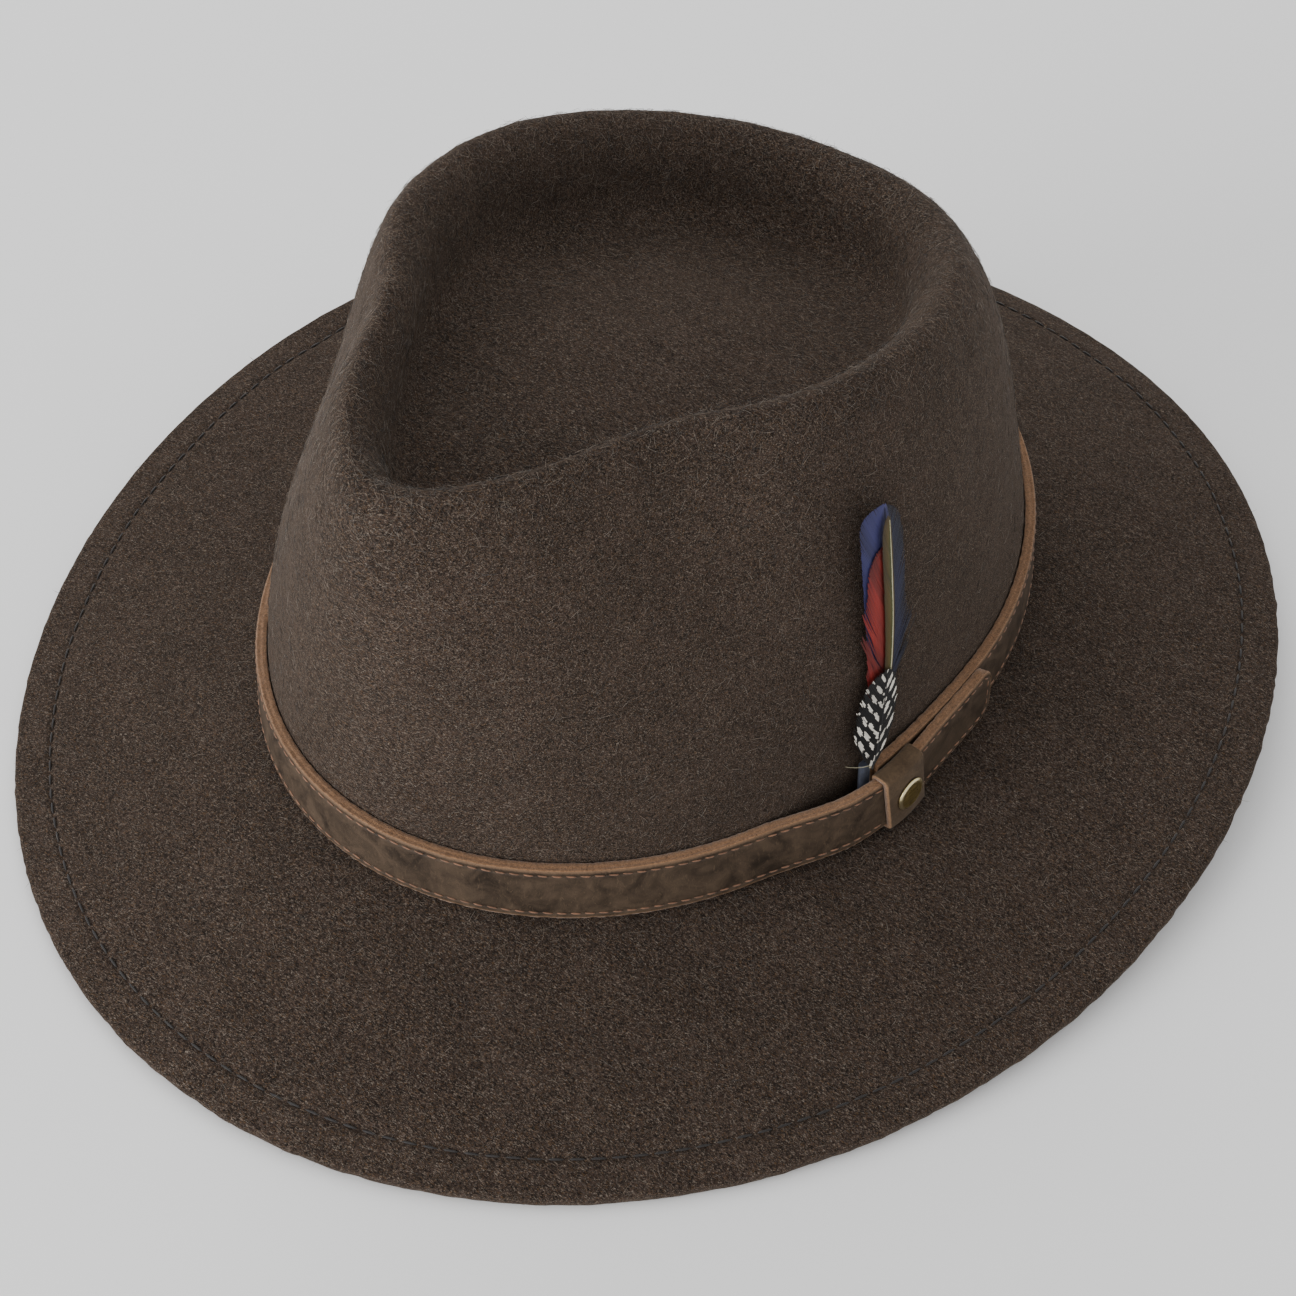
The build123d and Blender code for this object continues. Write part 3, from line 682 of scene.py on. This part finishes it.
# ---- Band, keeper and rivet ----
def tongue_height(turned, height):
    """Heights of the strap, drawn in where its free end has round corners."""
    corner, speed = 4.2, math.radians(1) * base_half_length
    to_end = (360 + strap_end - turned) * speed
    cut = np.where(to_end < corner, corner - np.sqrt(np.clip(corner ** 2 - (corner - to_end) ** 2, 0, None)), 0)
    half = band_height / 2
    return strap_middle + (height - strap_middle) * (half - cut) / half


def make_band():
    """The strap's section has raw edges above and below, soft rims and a groove along each row of stitches.

    Its points are (height, offset, rim, kind), where kind is 0 for the face, 1 for an edge and 2 for the back.
    """
    section = []
    half = band_height / 2
    groove = band_stitch_inset + thread / 2
    for h in np.linspace(-half, half, 9)[1:-1]:
        section.append((h, 0.0, 1.0, 2))
    for o in np.linspace(0.0, strap - 0.25, 7):
        section.append((half - 0.10 * math.sin(o * 5), o, 1.0, 1))
    face = [half - 0.12, half - 0.38]
    face += [half - groove + d for d in (0.75, 0.5, 0.25, 0, -0.25, -0.5, -0.75)]
    face += list(np.linspace(half - groove - 1.2, 0, 6))
    face = face + [-h for h in face[-2::-1]]
    for h in face:
        from_edge = half - abs(h)
        dip = 0.22 * math.exp(-(((from_edge - groove) / 0.32) ** 2))
        round_off = 0.30 * math.exp(-from_edge / 0.22)
        section.append((h, strap - dip - round_off, math.exp(-((from_edge / 0.85) ** 2)), 0))
    for o in np.linspace(strap - 0.25, 0.0, 7):
        section.append((-half + 0.10 * math.sin(o * 5), o, 1.0, 1))
    section = np.array(section)
    turned = np.concatenate([np.linspace(strap_start, 360 + strap_end - 3, 760),
                             360 + strap_end - 3 * (1 - np.sin(np.linspace(0, np.pi / 2, 16))[1:])])
    rows = []
    for h, o, _, kind in section:
        height = tongue_height(turned, strap_middle + h)
        point = wall_point(turned, height, strap_offset(turned) + o)
        _, up, out = wall_frame(turned)
        rough = 0.10 if kind else 0.035
        wave = smooth_noise(point, 1.7 if kind else 9, 21 + int(kind), 2) * rough
        rows.append(point + out * wave[:, None]
                    + up * (smooth_noise(point, 2.2, 31, 2) * (0.09 if kind == 1 else 0.0))[:, None])
    count, length = len(section), len(turned)
    verts = np.stack(rows, 0).reshape(-1, 3)
    faces = grid_faces(count, length, closed_columns=False, closed_rows=True)
    kinds = section[:, 3].astype(int)
    index = []
    for r in range(count):
        index += [max(kinds[r], kinds[(r + 1) % count])] * (length - 1)
    ends = [[r * length for r in range(count)], [r * length + length - 1 for r in range(count)][::-1]]
    faces += ends
    index += [1, 1]
    rim = np.repeat(section[:, 2], length)
    near_end = np.exp(-((360 + strap_end - turned) * math.radians(1) * base_half_length) / 0.5)
    rim = np.maximum(rim, np.tile(near_end, count))
    new_piece("leather_band", verts, faces, "hat", ["hat_band"], "band_leather", [band_look, raw_look, suede_look],
              index, values={"rim": rim})


def make_band_stitching():
    """Two rows round the hat, and one that goes round the free end past the keeper."""
    half_turn = math.degrees(keeper_width / 2 / base_half_length)
    inset = band_stitch_inset + thread / 2
    low, high = band_low + inset, band_low + band_height - inset
    end_inset = inset / (math.radians(1) * base_half_length)
    runs = []
    around = np.linspace(strap_end + 1.2, 360 + keeper_angle - half_turn - 0.2, 900)
    for height in (low, high):
        runs.append((around, height))
    tongue = np.linspace(360 + keeper_angle + half_turn + 0.2, 360 + strap_end - end_inset - 0.8, 60)
    last = 360 + strap_end - end_inset
    corner = np.linspace(0, np.pi / 2, 8)
    bend_turn, bend_height = 0.8, 1.6
    across = np.linspace(low + bend_height, high - bend_height, 14)
    path_turn = np.concatenate([tongue, last - bend_turn + bend_turn * np.sin(corner), np.full(14, last),
                                last - bend_turn + bend_turn * np.cos(corner), tongue[::-1]])
    path_height = np.concatenate([np.full(60, low), low + bend_height * (1 - np.cos(corner)), across,
                                  high - bend_height + bend_height * np.sin(corner), np.full(60, high)])
    runs.append((path_turn, path_height))
    parts = []
    for turned, height in runs:
        line = wall_point(turned, height, strap_offset(turned) + strap - 0.10)
        out = wall_frame(turned)[2]
        start, end, middle = along_path(line, band_pitch, 0.72)
        normal = between(out, middle)
        slant = np.cross(normal, unit(end - start)) * 0.10
        parts.append(tubes(start + slant, end - slant, normal, band_stitch, 0.06))
    new_piece("band_stitches", *joined(parts), "hat", ["band_stitching"], "band_thread", [band_thread_look])


def make_keeper():
    """The loop round the outer ply, as an outer and an inner skin joined along both edges."""
    half_turn = math.degrees(keeper_width / 2 / base_half_length)
    low, high = band_low - play, band_low + band_height + play

    def loop(back, front, lower, upper, corner, count_corner=6):
        """A rounded rectangle in offset and height, as a list of points."""
        points = []
        centres = ((front - corner, upper - corner, 0), (back + corner, upper - corner, 90),
                   (back + corner, lower + corner, 180), (front - corner, lower + corner, 270))
        for o, h, start in centres:
            for k in range(count_corner):
                a = math.radians(start + 90 * k / (count_corner - 1))
                points.append((o + corner * math.cos(a), h + corner * math.sin(a)))
        return points

    stations = np.concatenate([[-1, -0.985, -0.95], np.linspace(-0.9, 0.9, 17), [0.95, 0.985, 1]])
    rings_out, rings_in, rims = [], [], []
    for station in stations:
        angle = keeper_angle + half_turn * station
        back = float(strap_offset(angle + 360)) - play
        front = float(strap_offset(angle + 360)) + strap + play
        lip = 0.35 * (1 - math.sqrt(max(0.0, 1 - max(0.0, (abs(station) - 0.93) / 0.07) ** 2)))
        puff = 0.20 * (1 - station ** 2)
        outer = loop(back - keeper_back + lip, front + keeper_leather - lip + puff, low - keeper_leather + lip,
                     high + keeper_leather - lip, 1.5)
        inner = loop(back, front, low, high, 0.5)
        for points, rings in ((outer, rings_out), (inner, rings_in)):
            o, h = np.array(points).T
            rings.append(wall_point(angle - keeper_skew * (h - strap_middle), h, o))
        rims.append(math.exp(-(1 - abs(station)) * keeper_width / 2 / 0.45))
    rows, columns = len(stations), len(rings_out[0])
    outer, inner = np.stack(rings_out), np.stack(rings_in)
    verts = np.concatenate([outer.reshape(-1, 3), inner.reshape(-1, 3)])
    wave = smooth_noise(verts, 1.6, 55, 2) * 0.07
    verts = verts + wave[:, None] * np.array([0.6, 0.6, 0.5])
    faces = [f[::-1] for f in grid_faces(rows, columns)]
    shift = rows * columns
    faces += grid_faces(rows, columns, start=shift)
    index = [0] * (2 * (rows - 1) * columns)
    for row_start, flip in ((0, False), ((rows - 1) * columns, True)):
        for c in range(columns):
            c2 = (c + 1) % columns
            face = [row_start + c, row_start + c2, shift + row_start + c2, shift + row_start + c]
            faces.append(face[::-1] if flip else face)
            index.append(1)
    rim = np.concatenate([np.repeat(rims, columns)] * 2)
    new_piece("keeper", verts, faces, "hat", ["keeper_loop"], "keeper_leather", [nubuck_look, raw_look], index,
              values={"rim": rim})


def make_rivet():
    """A low cap with a rolled rim and a shallow dish."""
    middle, up, out = wall_frame(keeper_angle)
    side = np.cross(up, out)
    base = float(strap_offset(360 + keeper_angle)) + strap + play + keeper_leather + 0.3
    radius, height = rivet_cap_radius, rivet_cap_height
    profile = [(radius - 0.45, 0.0, 0), (radius - 0.12, 0.12, 0), (radius, 0.45, 0.4), (radius - 0.04, 0.75, 0.8),
               (radius - 0.22, 1.05, 1.0), (radius - 0.50, 1.24, 1.0), (radius - 0.85, 1.27, 0.6),
               (radius - 1.15, 1.20, 0.15), (radius - 1.6, 1.16, 0.0), (2.4, 1.24, 0), (1.5, 1.33, 0), (0.7, 1.38, 0),
               (0.05, 1.40, 0)]
    turns = np.arange(72) * 2 * np.pi / 72
    rows = [middle + out * (base + h * (height - 0.2) / 1.4)
            + (up[None] * np.cos(turns)[:, None] + side[None] * np.sin(turns)[:, None]) * r
            for r, h, _ in profile]
    # the rim values mark where the brass material paints its highlight on the rolled rim
    rim = np.repeat([p[2] for p in profile], len(turns))
    new_piece("rivet_head", np.concatenate(rows), capped(len(profile), len(turns)), "hat", ["rivet_cap"],
              "antique_brass", [brass_look], values={"rim": rim})


# ---- Feather trim ----
foot_point = wall_point(np.array(trim_angle), trim_foot, trim_foot_offset)
tip_level = wall_level(trim_tip_angle, trim_tip_height)
tip_point = felt_point(trim_tip_angle, tip_level) + felt_normal(trim_tip_angle, tip_level) * trim_tip_offset
trim_length = float(np.linalg.norm(tip_point - foot_point))
trim_up = unit(tip_point - foot_point)
trim_across = unit(np.cross(trim_up, wall_frame(trim_angle)[2]))
trim_out = np.cross(trim_across, trim_up)


def trim_place(across, along, off):
    """A point of the trim from its place across the stem, up the stem and away from the felt."""
    across, along, off = (np.asarray(v, float)[..., None] for v in (across, along, off))
    return foot_point + trim_across * across + trim_up * along + trim_out * off


def stem_x(along):
    """Place of the feathers' common stem across the trim."""
    share = np.clip((along - binding_length) / (trim_length - binding_length), 0, 1)
    return stem_bow * np.sin(np.pi * share ** stem_bow_power)


def vane_reach(along, tip, widest, reach, blunt, foot=binding_length):
    """How far a vane reaches from its stem: it swells to its widest place and rounds off at its tip."""
    if along < widest:
        return reach * (0.10 + 0.90 * math.sin(math.pi / 2 * max(along - foot, 0) / (widest - foot)) ** 0.9)
    return reach * math.sqrt(max(0.0, 1 - ((along - widest) / (tip - widest)) ** blunt))


def make_feather(name, layer, tip, widest, left, right, materials, slot, node, barbs=150, slope=1.8, spots=False,
                 frayed=0.03, width=0.26, cup=0.5, shaft=0.24, bow=1.0, blunt=(4.0, 3.0),
                 clumps=(), strays=()):
    """A feather as a tapering shaft and two rows of barbs, each a thin closed blade that sweeps towards the tip."""
    base_off = (layer - 1) * feather_step + 0.25
    verts, faces, reach, tones, spot, index = [], [], [], [], [], []

    def add_blade(spine, half, thick, reaches, tone, kind):
        """A thin closed blade with a three-sided section along a spine of (across, along, off) points."""
        base, n = len(verts), len(spine)
        for k, (x, y, o) in enumerate(spine):
            before, after = spine[max(k - 1, 0)], spine[min(k + 1, n - 1)]
            dx, dy = after[0] - before[0], after[1] - before[1]
            size = math.hypot(dx, dy) or 1.0
            nx, ny = -dy / size * half[k], dx / size * half[k]
            verts.extend([(x - nx, y - ny, o), (x + nx, y + ny, o), (x, y, o + thick)])
            reach.extend([reaches[k]] * 3)
            tones.extend([tone] * 3)
            spot.extend([spot_value(x - bow * float(stem_x(y)), y) if spots and kind == 0 else 0.0] * 3)
        for k in range(n - 1):
            a, b = base + 3 * k, base + 3 * k + 3
            for i, j in ((0, 1), (1, 2), (2, 0)):
                faces.append((a + i, b + i, b + j, a + j))
                index.append(kind)
        faces.append((base, base + 1, base + 2))
        faces.append((base + 3 * n - 1, base + 3 * n - 2, base + 3 * n - 3))
        index.extend([kind, kind])

    local = np.random.default_rng(100 + layer)
    start = binding_length + 0.3
    for side, most in ((-1, left), (1, right)):
        tone_walk = 0.5
        for i in range(barbs):
            root = start + (tip - 0.6 - start) * (i + local.uniform(-0.3, 0.3)) / barbs
            low, high = root, tip
            for _ in range(18):
                end = (low + high) / 2
                size = vane_reach(end, tip, widest, most, blunt[side > 0])
                if root + slope * size + 0.5 > end:
                    low = end
                else:
                    high = end
            size = max(0.25, size * (1 + local.normal() * frayed))
            end += local.normal() * 5 * frayed
            for place, spread, more, turn in clumps:
                near = math.exp(-(((root - place) / spread) ** 2)) if side == turn else 0.0
                size += more * near
                end -= 0.6 * more * near
            tone_walk = min(1, max(0, tone_walk + local.normal() * 0.16))
            root_x, end_x = bow * float(stem_x(root)), bow * float(stem_x(end)) + side * size
            spine, half, reaches, n = [], [], [], 12 if spots else 6
            for k in range(n):
                s = k / (n - 1)
                off = base_off + 0.10 + 0.10 * tone_walk - cup * 0.4 * s * s * min(size / 4, 1.5)
                spine.append((root_x + (end_x - root_x) * s ** 0.85, root + (end - root) * s ** 1.15, off))
                half.append(width * (0.95 - 0.55 * s ** 2))
                reaches.append(s)
            add_blade(spine, half, 0.05, reaches, tone_walk, 0)
    for root, end_x, end, kind in strays:
        s = np.linspace(0, 1, 7)
        root_x = bow * float(stem_x(root))
        spine = [(root_x * (1 - k) + end_x * k, root + (end - root) * k ** 1.4, base_off + 0.3 * k) for k in s]
        add_blade(spine, 0.11 * (1 - 0.5 * s), 0.10, s, 0.5, kind)
    shares = np.linspace(0, 1, 20)
    along = binding_length - 0.5 + (tip - 0.8 - binding_length) * shares
    spine = [(bow * float(stem_x(y)), float(y), base_off + 0.16) for y in along]
    add_blade(spine, [shaft * (1 - 0.75 * s) for s in shares], 0.20, [0.0] * 20, 0.5, 1)
    flat = np.array(verts)
    new_piece(name, trim_place(flat[:, 0], flat[:, 1], flat[:, 2]), faces, "feather_trim", [node], slot, materials,
              index, smooth=False, values={"reach": reach, "barb": tones, "spot": spot})


def spot_value(x, y):
    """1 inside the guinea feather's long oval spots, 0 between them. They lie along the barbs, in staggered rows."""
    slope, row_pitch, column_pitch, length, width = 1.3, 3.9, 4.3, 1.45, 0.95
    root = (y - slope * abs(x)) / row_pitch + (0.0 if x < 0 else 0.4)
    row = round(root)
    out = (abs(x) * math.hypot(1, slope) - 1.5 - (0.5 * column_pitch if row % 2 else 0.0)) / column_pitch
    column = round(out)
    odd = math.sin(12.99 * row + 78.23 * column + (0.0 if x < 0 else 37.7)) * 437.5 % 1
    length, width = length * (0.75 + 0.5 * odd), width * (0.7 + 0.5 * (3.7 * odd % 1))
    out, root = out + 0.14 * (7.3 * odd % 1 - 0.5), root + 0.26 * (5.1 * odd % 1 - 0.5)
    inside = ((out - column) * column_pitch / length) ** 2 + ((root - row) * row_pitch / width) ** 2
    return 1.0 if inside < 1 else 0.0


def make_trim():
    top = trim_length
    shaft_pale = plain_material("pale_shaft", srgb(168, 162, 134), 0.5, 1.2)
    shaft_dark = plain_material("dark_shaft", srgb(20, 19, 24), 0.5, 1.2)
    blue = feather_material("blue_barbs", (0.0, srgb(26, 24, 56)), (0.5, srgb(42, 42, 84)), (1.0, srgb(35, 35, 74)))
    navy = feather_material("navy_barbs", (0.0, srgb(17, 17, 34)), (0.6, srgb(24, 26, 50)), (1.0, srgb(15, 15, 30)))
    red = feather_material("red_barbs", (0.0, srgb(84, 18, 15)), (0.6, srgb(118, 28, 22)), (1.0, srgb(92, 20, 18)))
    olive = feather_material("olive_barbs", (0.0, srgb(50, 60, 18)), (0.3, srgb(66, 52, 12)), (1.0, srgb(46, 33, 9)))
    guinea = guinea_material()
    make_feather("feather_navy", 0, top - 1.5, 0.66 * top, 1.5, 6.4, [navy, shaft_dark], "navy_feather",
                 "feather_blue_right", blunt=(4.0, 7.0), clumps=((40, 2.5, 2.4, 1), (33, 1.6, 2.0, 1)),
                 strays=((34, 14.5, 50, 1), (30, 12.6, 44, 1), (36, 13.0, 53, 1)))
    make_feather("feather_blue", 1, top, 0.80 * top, 7.6, 1.8, [blue, shaft_dark], "blue_feather",
                 "feather_blue_left", blunt=(12.0, 3.0), frayed=0.012)
    make_feather("feather_red_vane", 2, 0.88 * top, 0.60 * top, 7.2, 1.0, [red, shaft_dark], "red_feather",
                 "feather_red", slope=2.2, frayed=0.04, clumps=((44, 1.6, 1.6, -1), (38, 1.4, 2.0, -1)))
    make_feather("feather_olive", 3, 0.97 * top, 0.78 * top, 2.5, 0.55, [olive, shaft_pale], "olive_feather",
                 "feather_green", slope=3.2, shaft=0.42, frayed=0.02)
    make_feather("feather_spotted", 4, 0.48 * top, 0.32 * top, 8.4, 4.2, [guinea, shaft_dark, shaft_pale],
                 "guinea_feather", "feather_guinea", barbs=120, slope=1.3, spots=True, frayed=0.06, width=0.25,
                 bow=0.6, strays=((16.2, -9.5, 21.5, 2),))


def make_binding():
    """Thread wrapped round the quills in close turns, a little uneven."""
    turns, around = 52, 40
    rows = turns * 5
    a = np.arange(around) * 2 * np.pi / around
    verts = []
    for r in range(rows + 1):
        s = r / rows
        y = binding_length * s
        phase = 2 * np.pi * turns * s
        radius = 1 + 0.10 * np.abs(np.sin((phase + a) / 2)) - 0.09 + 0.02 * np.sin(7 * s + 1.3)
        straight = (binding_width - binding_thick) / 2
        x = np.sign(np.cos(a)) * straight * np.abs(np.cos(a)) ** 0.3
        x += binding_slim[0] * binding_thick / 2 * np.cos(a) * radius
        o = binding_slim[1] * binding_thick / 2 * np.sin(a) * radius
        ends = 0.86 if r in (0, rows) else 1.0
        verts.append(trim_place(x * ends, np.full(around, y), o * ends))
    new_piece("quill_binding", np.concatenate(verts), capped(rows + 1, around), "feather_trim",
              ["feather_binding", "feather_quills"], "binding_thread", [binding_look])


# ---- Sweatband ----
def inner_point(angle, height, depth):
    """Points inside the head opening, at a depth under the felt's outer face."""
    level = wall_level(angle, height)
    smooth = felt_point(angle, level) - felt_normal(angle, level) * np.asarray(depth)[..., None]
    straight = wall_point(angle, height, -np.asarray(depth))
    share = climb(np.asarray(height, float), band_height - 4, band_height + 6)[..., None]
    return straight * (1 - share) + smooth * share


def make_sweatband():
    """The leather strip inside the opening, with a shallow dip along its row of stitches."""
    columns = 420
    angle = full_turn(columns)
    depth = felt + sweat_gap
    top = sweat_low + sweat_height
    heights = np.concatenate([[sweat_low, sweat_low + 0.15], np.linspace(sweat_low + 0.5, top - 0.5, 26),
                              [top - 0.15, top]])
    rows = [inner_point(angle, h, depth) for h in heights]
    for h in heights[::-1]:
        seam = 0.18 * math.exp(-(((h - sweat_low - sweat_seam) / 0.5) ** 2))
        rows.append(inner_point(angle, h, depth + sweat_leather - seam))
    faces = [f[::-1] for f in grid_faces(len(rows), columns, closed_rows=True)][::-1]
    new_piece("sweatband_leather", np.concatenate(rows), faces, "hat", ["sweatband"], "sweat_leather", [sweat_look])


def make_reed_tape():
    """The tape round the reed: an open ring in section, with its gap at the top."""
    columns = 420
    angle = full_turn(columns)
    depth, height = felt + sweat_gap + 2 * reed_radius, sweat_low - 2 * reed_radius
    outer_radius = reed_radius + play + tape
    rows = []
    for radius, first, last in ((outer_radius, 100, 440), (outer_radius - tape, 440, 100)):
        for a in np.radians(np.linspace(first, last, 20)):
            rows.append(wall_point(angle, height + radius * math.sin(a), -depth + radius * math.cos(a)))
    faces = grid_faces(len(rows), columns, closed_rows=True)
    new_piece("reed_tape", np.concatenate(rows), faces, "hat", ["sweatband_tape"], "tape", [tape_look])


def make_sweatband_stitching():
    """One row of stitches through the sweatband, broken at the back patch."""
    free = math.degrees(patch_width / 2 / base_half_width) + 1
    around = np.linspace(180 + free, 540 - free, 1200)
    lift = felt + sweat_gap + sweat_leather
    line = wall_point(around, sweat_low + sweat_seam, -lift)
    inward = -wall_frame(around)[2]
    start, end, middle = along_path(line, sweat_pitch, 0.72)
    verts, faces = tubes(start, end, between(inward, middle), sweat_stitch, 0.10)
    new_piece("sweatband_stitches", verts, faces, "hat", ["sweatband_stitching"], "felt_thread", [felt_thread_look])


def make_sweatband_patch():
    """The back patch in three layers of points: its back, its full outline in front, and its face, drawn in a bit."""
    half = math.degrees(patch_width / 2 / base_half_width)
    rows, columns = 30, 24
    turns = np.linspace(-half, half, columns)
    low, top = sweat_low + 0.5, sweat_low + sweat_height - 2
    base = felt + sweat_gap + sweat_leather + 2 * play
    layers = []
    for offset, inset in ((0.0, 0.0), (0.55, 0.0), (0.78, 0.35)):
        around = 180 + turns * (1 - inset * 2 / patch_width)
        layers += [inner_point(around, h, base + offset) for h in np.linspace(low + inset, top - inset, rows)]
    verts = np.concatenate(layers)
    size, last = rows * columns, (rows - 1) * columns
    faces = [f[::-1] for f in grid_faces(rows, columns, False)] + grid_faces(rows, columns, False, start=2 * size)
    loop = list(range(columns)) + [r * columns + columns - 1 for r in range(1, rows)] + \
        [last + c for c in range(columns - 2, -1, -1)] + [r * columns for r in range(rows - 2, 0, -1)]
    for layer in (0, 1):
        for a, b in zip(loop, loop[1:] + loop[:1]):
            faces.append([layer * size + a, layer * size + b, (layer + 1) * size + b, (layer + 1) * size + a])
    used, place = np.unique(np.concatenate([np.ravel(f) for f in faces]), return_inverse=True)
    verts, faces = verts[used], np.asarray(place).reshape(-1, 4).tolist()
    new_piece("sweatband_patch", verts, faces, "hat", ["sweatband_back_patch"], "sweat_leather", [sweat_look])


# ---- CAD nodes that stay as they are ----
def finish_cad_nodes():
    for node, look in (("rivet_post", brass_look), ("rivet_back", brass_look), ("sweatband_reed", reed_look)):
        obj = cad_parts[node]
        obj.data.materials.clear()
        obj.data.materials.append(look)


# ---- Stage, light and camera ----
def make_stage():
    floor_mesh = bpy.data.meshes.new("floor")
    half = 40.0
    floor_mesh.from_pydata([(-half, -half, 0), (half, -half, 0), (half, half, 0), (-half, half, 0)], [], [(0, 1, 2, 3)])
    floor_mesh.materials.append(Shader("pale_floor").finish((0.97, 0.97, 0.97, 1), 0.9))
    add_object("floor", floor_mesh)
    world = bpy.data.worlds.new("studio")
    bpy.context.scene.world = world
    world.use_nodes = True
    background = world.node_tree.nodes["Background"]
    background.inputs["Color"].default_value = (1, 1, 1, 1)
    background.inputs["Strength"].default_value = 0.96


def add_light(name, place, aim, size, power):
    data = bpy.data.lights.new(name, "AREA")
    data.shape = "DISK"
    data.size = size
    data.energy = power
    light = add_object(name, data)
    light.location = place
    light.rotation_euler = (Vector(aim) - Vector(place)).to_track_quat("-Z", "Y").to_euler()


def make_camera():
    """A camera at a bearing, height and roll, whose optical axis misses the hat's middle by a small shift."""
    azimuth, elevation, roll = math.radians(35.86), math.radians(46.8), math.radians(0.58)
    distance, aside, below = 649.7, -2.01, -23.08
    middle = np.array([0, crown_shift, rest_height + 15.46])
    back = np.array([math.sin(azimuth) * math.cos(elevation), -math.cos(azimuth) * math.cos(elevation),
                     math.sin(elevation)])
    right = np.array([math.cos(azimuth), math.sin(azimuth), 0.0])
    up = np.cross(back, right)
    turned_right = right * math.cos(roll) + up * math.sin(roll)
    turned_up = up * math.cos(roll) - right * math.sin(roll)
    place = (middle + back * distance + turned_right * aside + turned_up * below) * MM
    data = bpy.data.cameras.new("camera")
    data.sensor_width = 36.0
    data.lens = 74.3
    data.clip_end = 50.0
    camera = add_object("camera", data)
    camera.matrix_world = Matrix([[turned_right[i], turned_up[i], back[i], place[i]] for i in range(3)]
                                 + [[0, 0, 0, 1]])
    bpy.context.scene.camera = camera


make_felt()
make_brim_stitching()
make_fuzz(32000)
make_band()
make_band_stitching()
make_keeper()
make_rivet()
make_trim()
make_binding()
make_sweatband()
make_reed_tape()
make_sweatband_stitching()
make_sweatband_patch()
finish_cad_nodes()
make_stage()
add_light("key", (-0.45, -1.65, 0.48), (0, 0, 0.05), 1.2, 28)
add_light("fill", (-1.2, 1.0, 1.3), (0, 0, 0.05), 1.4, 8)
make_camera()
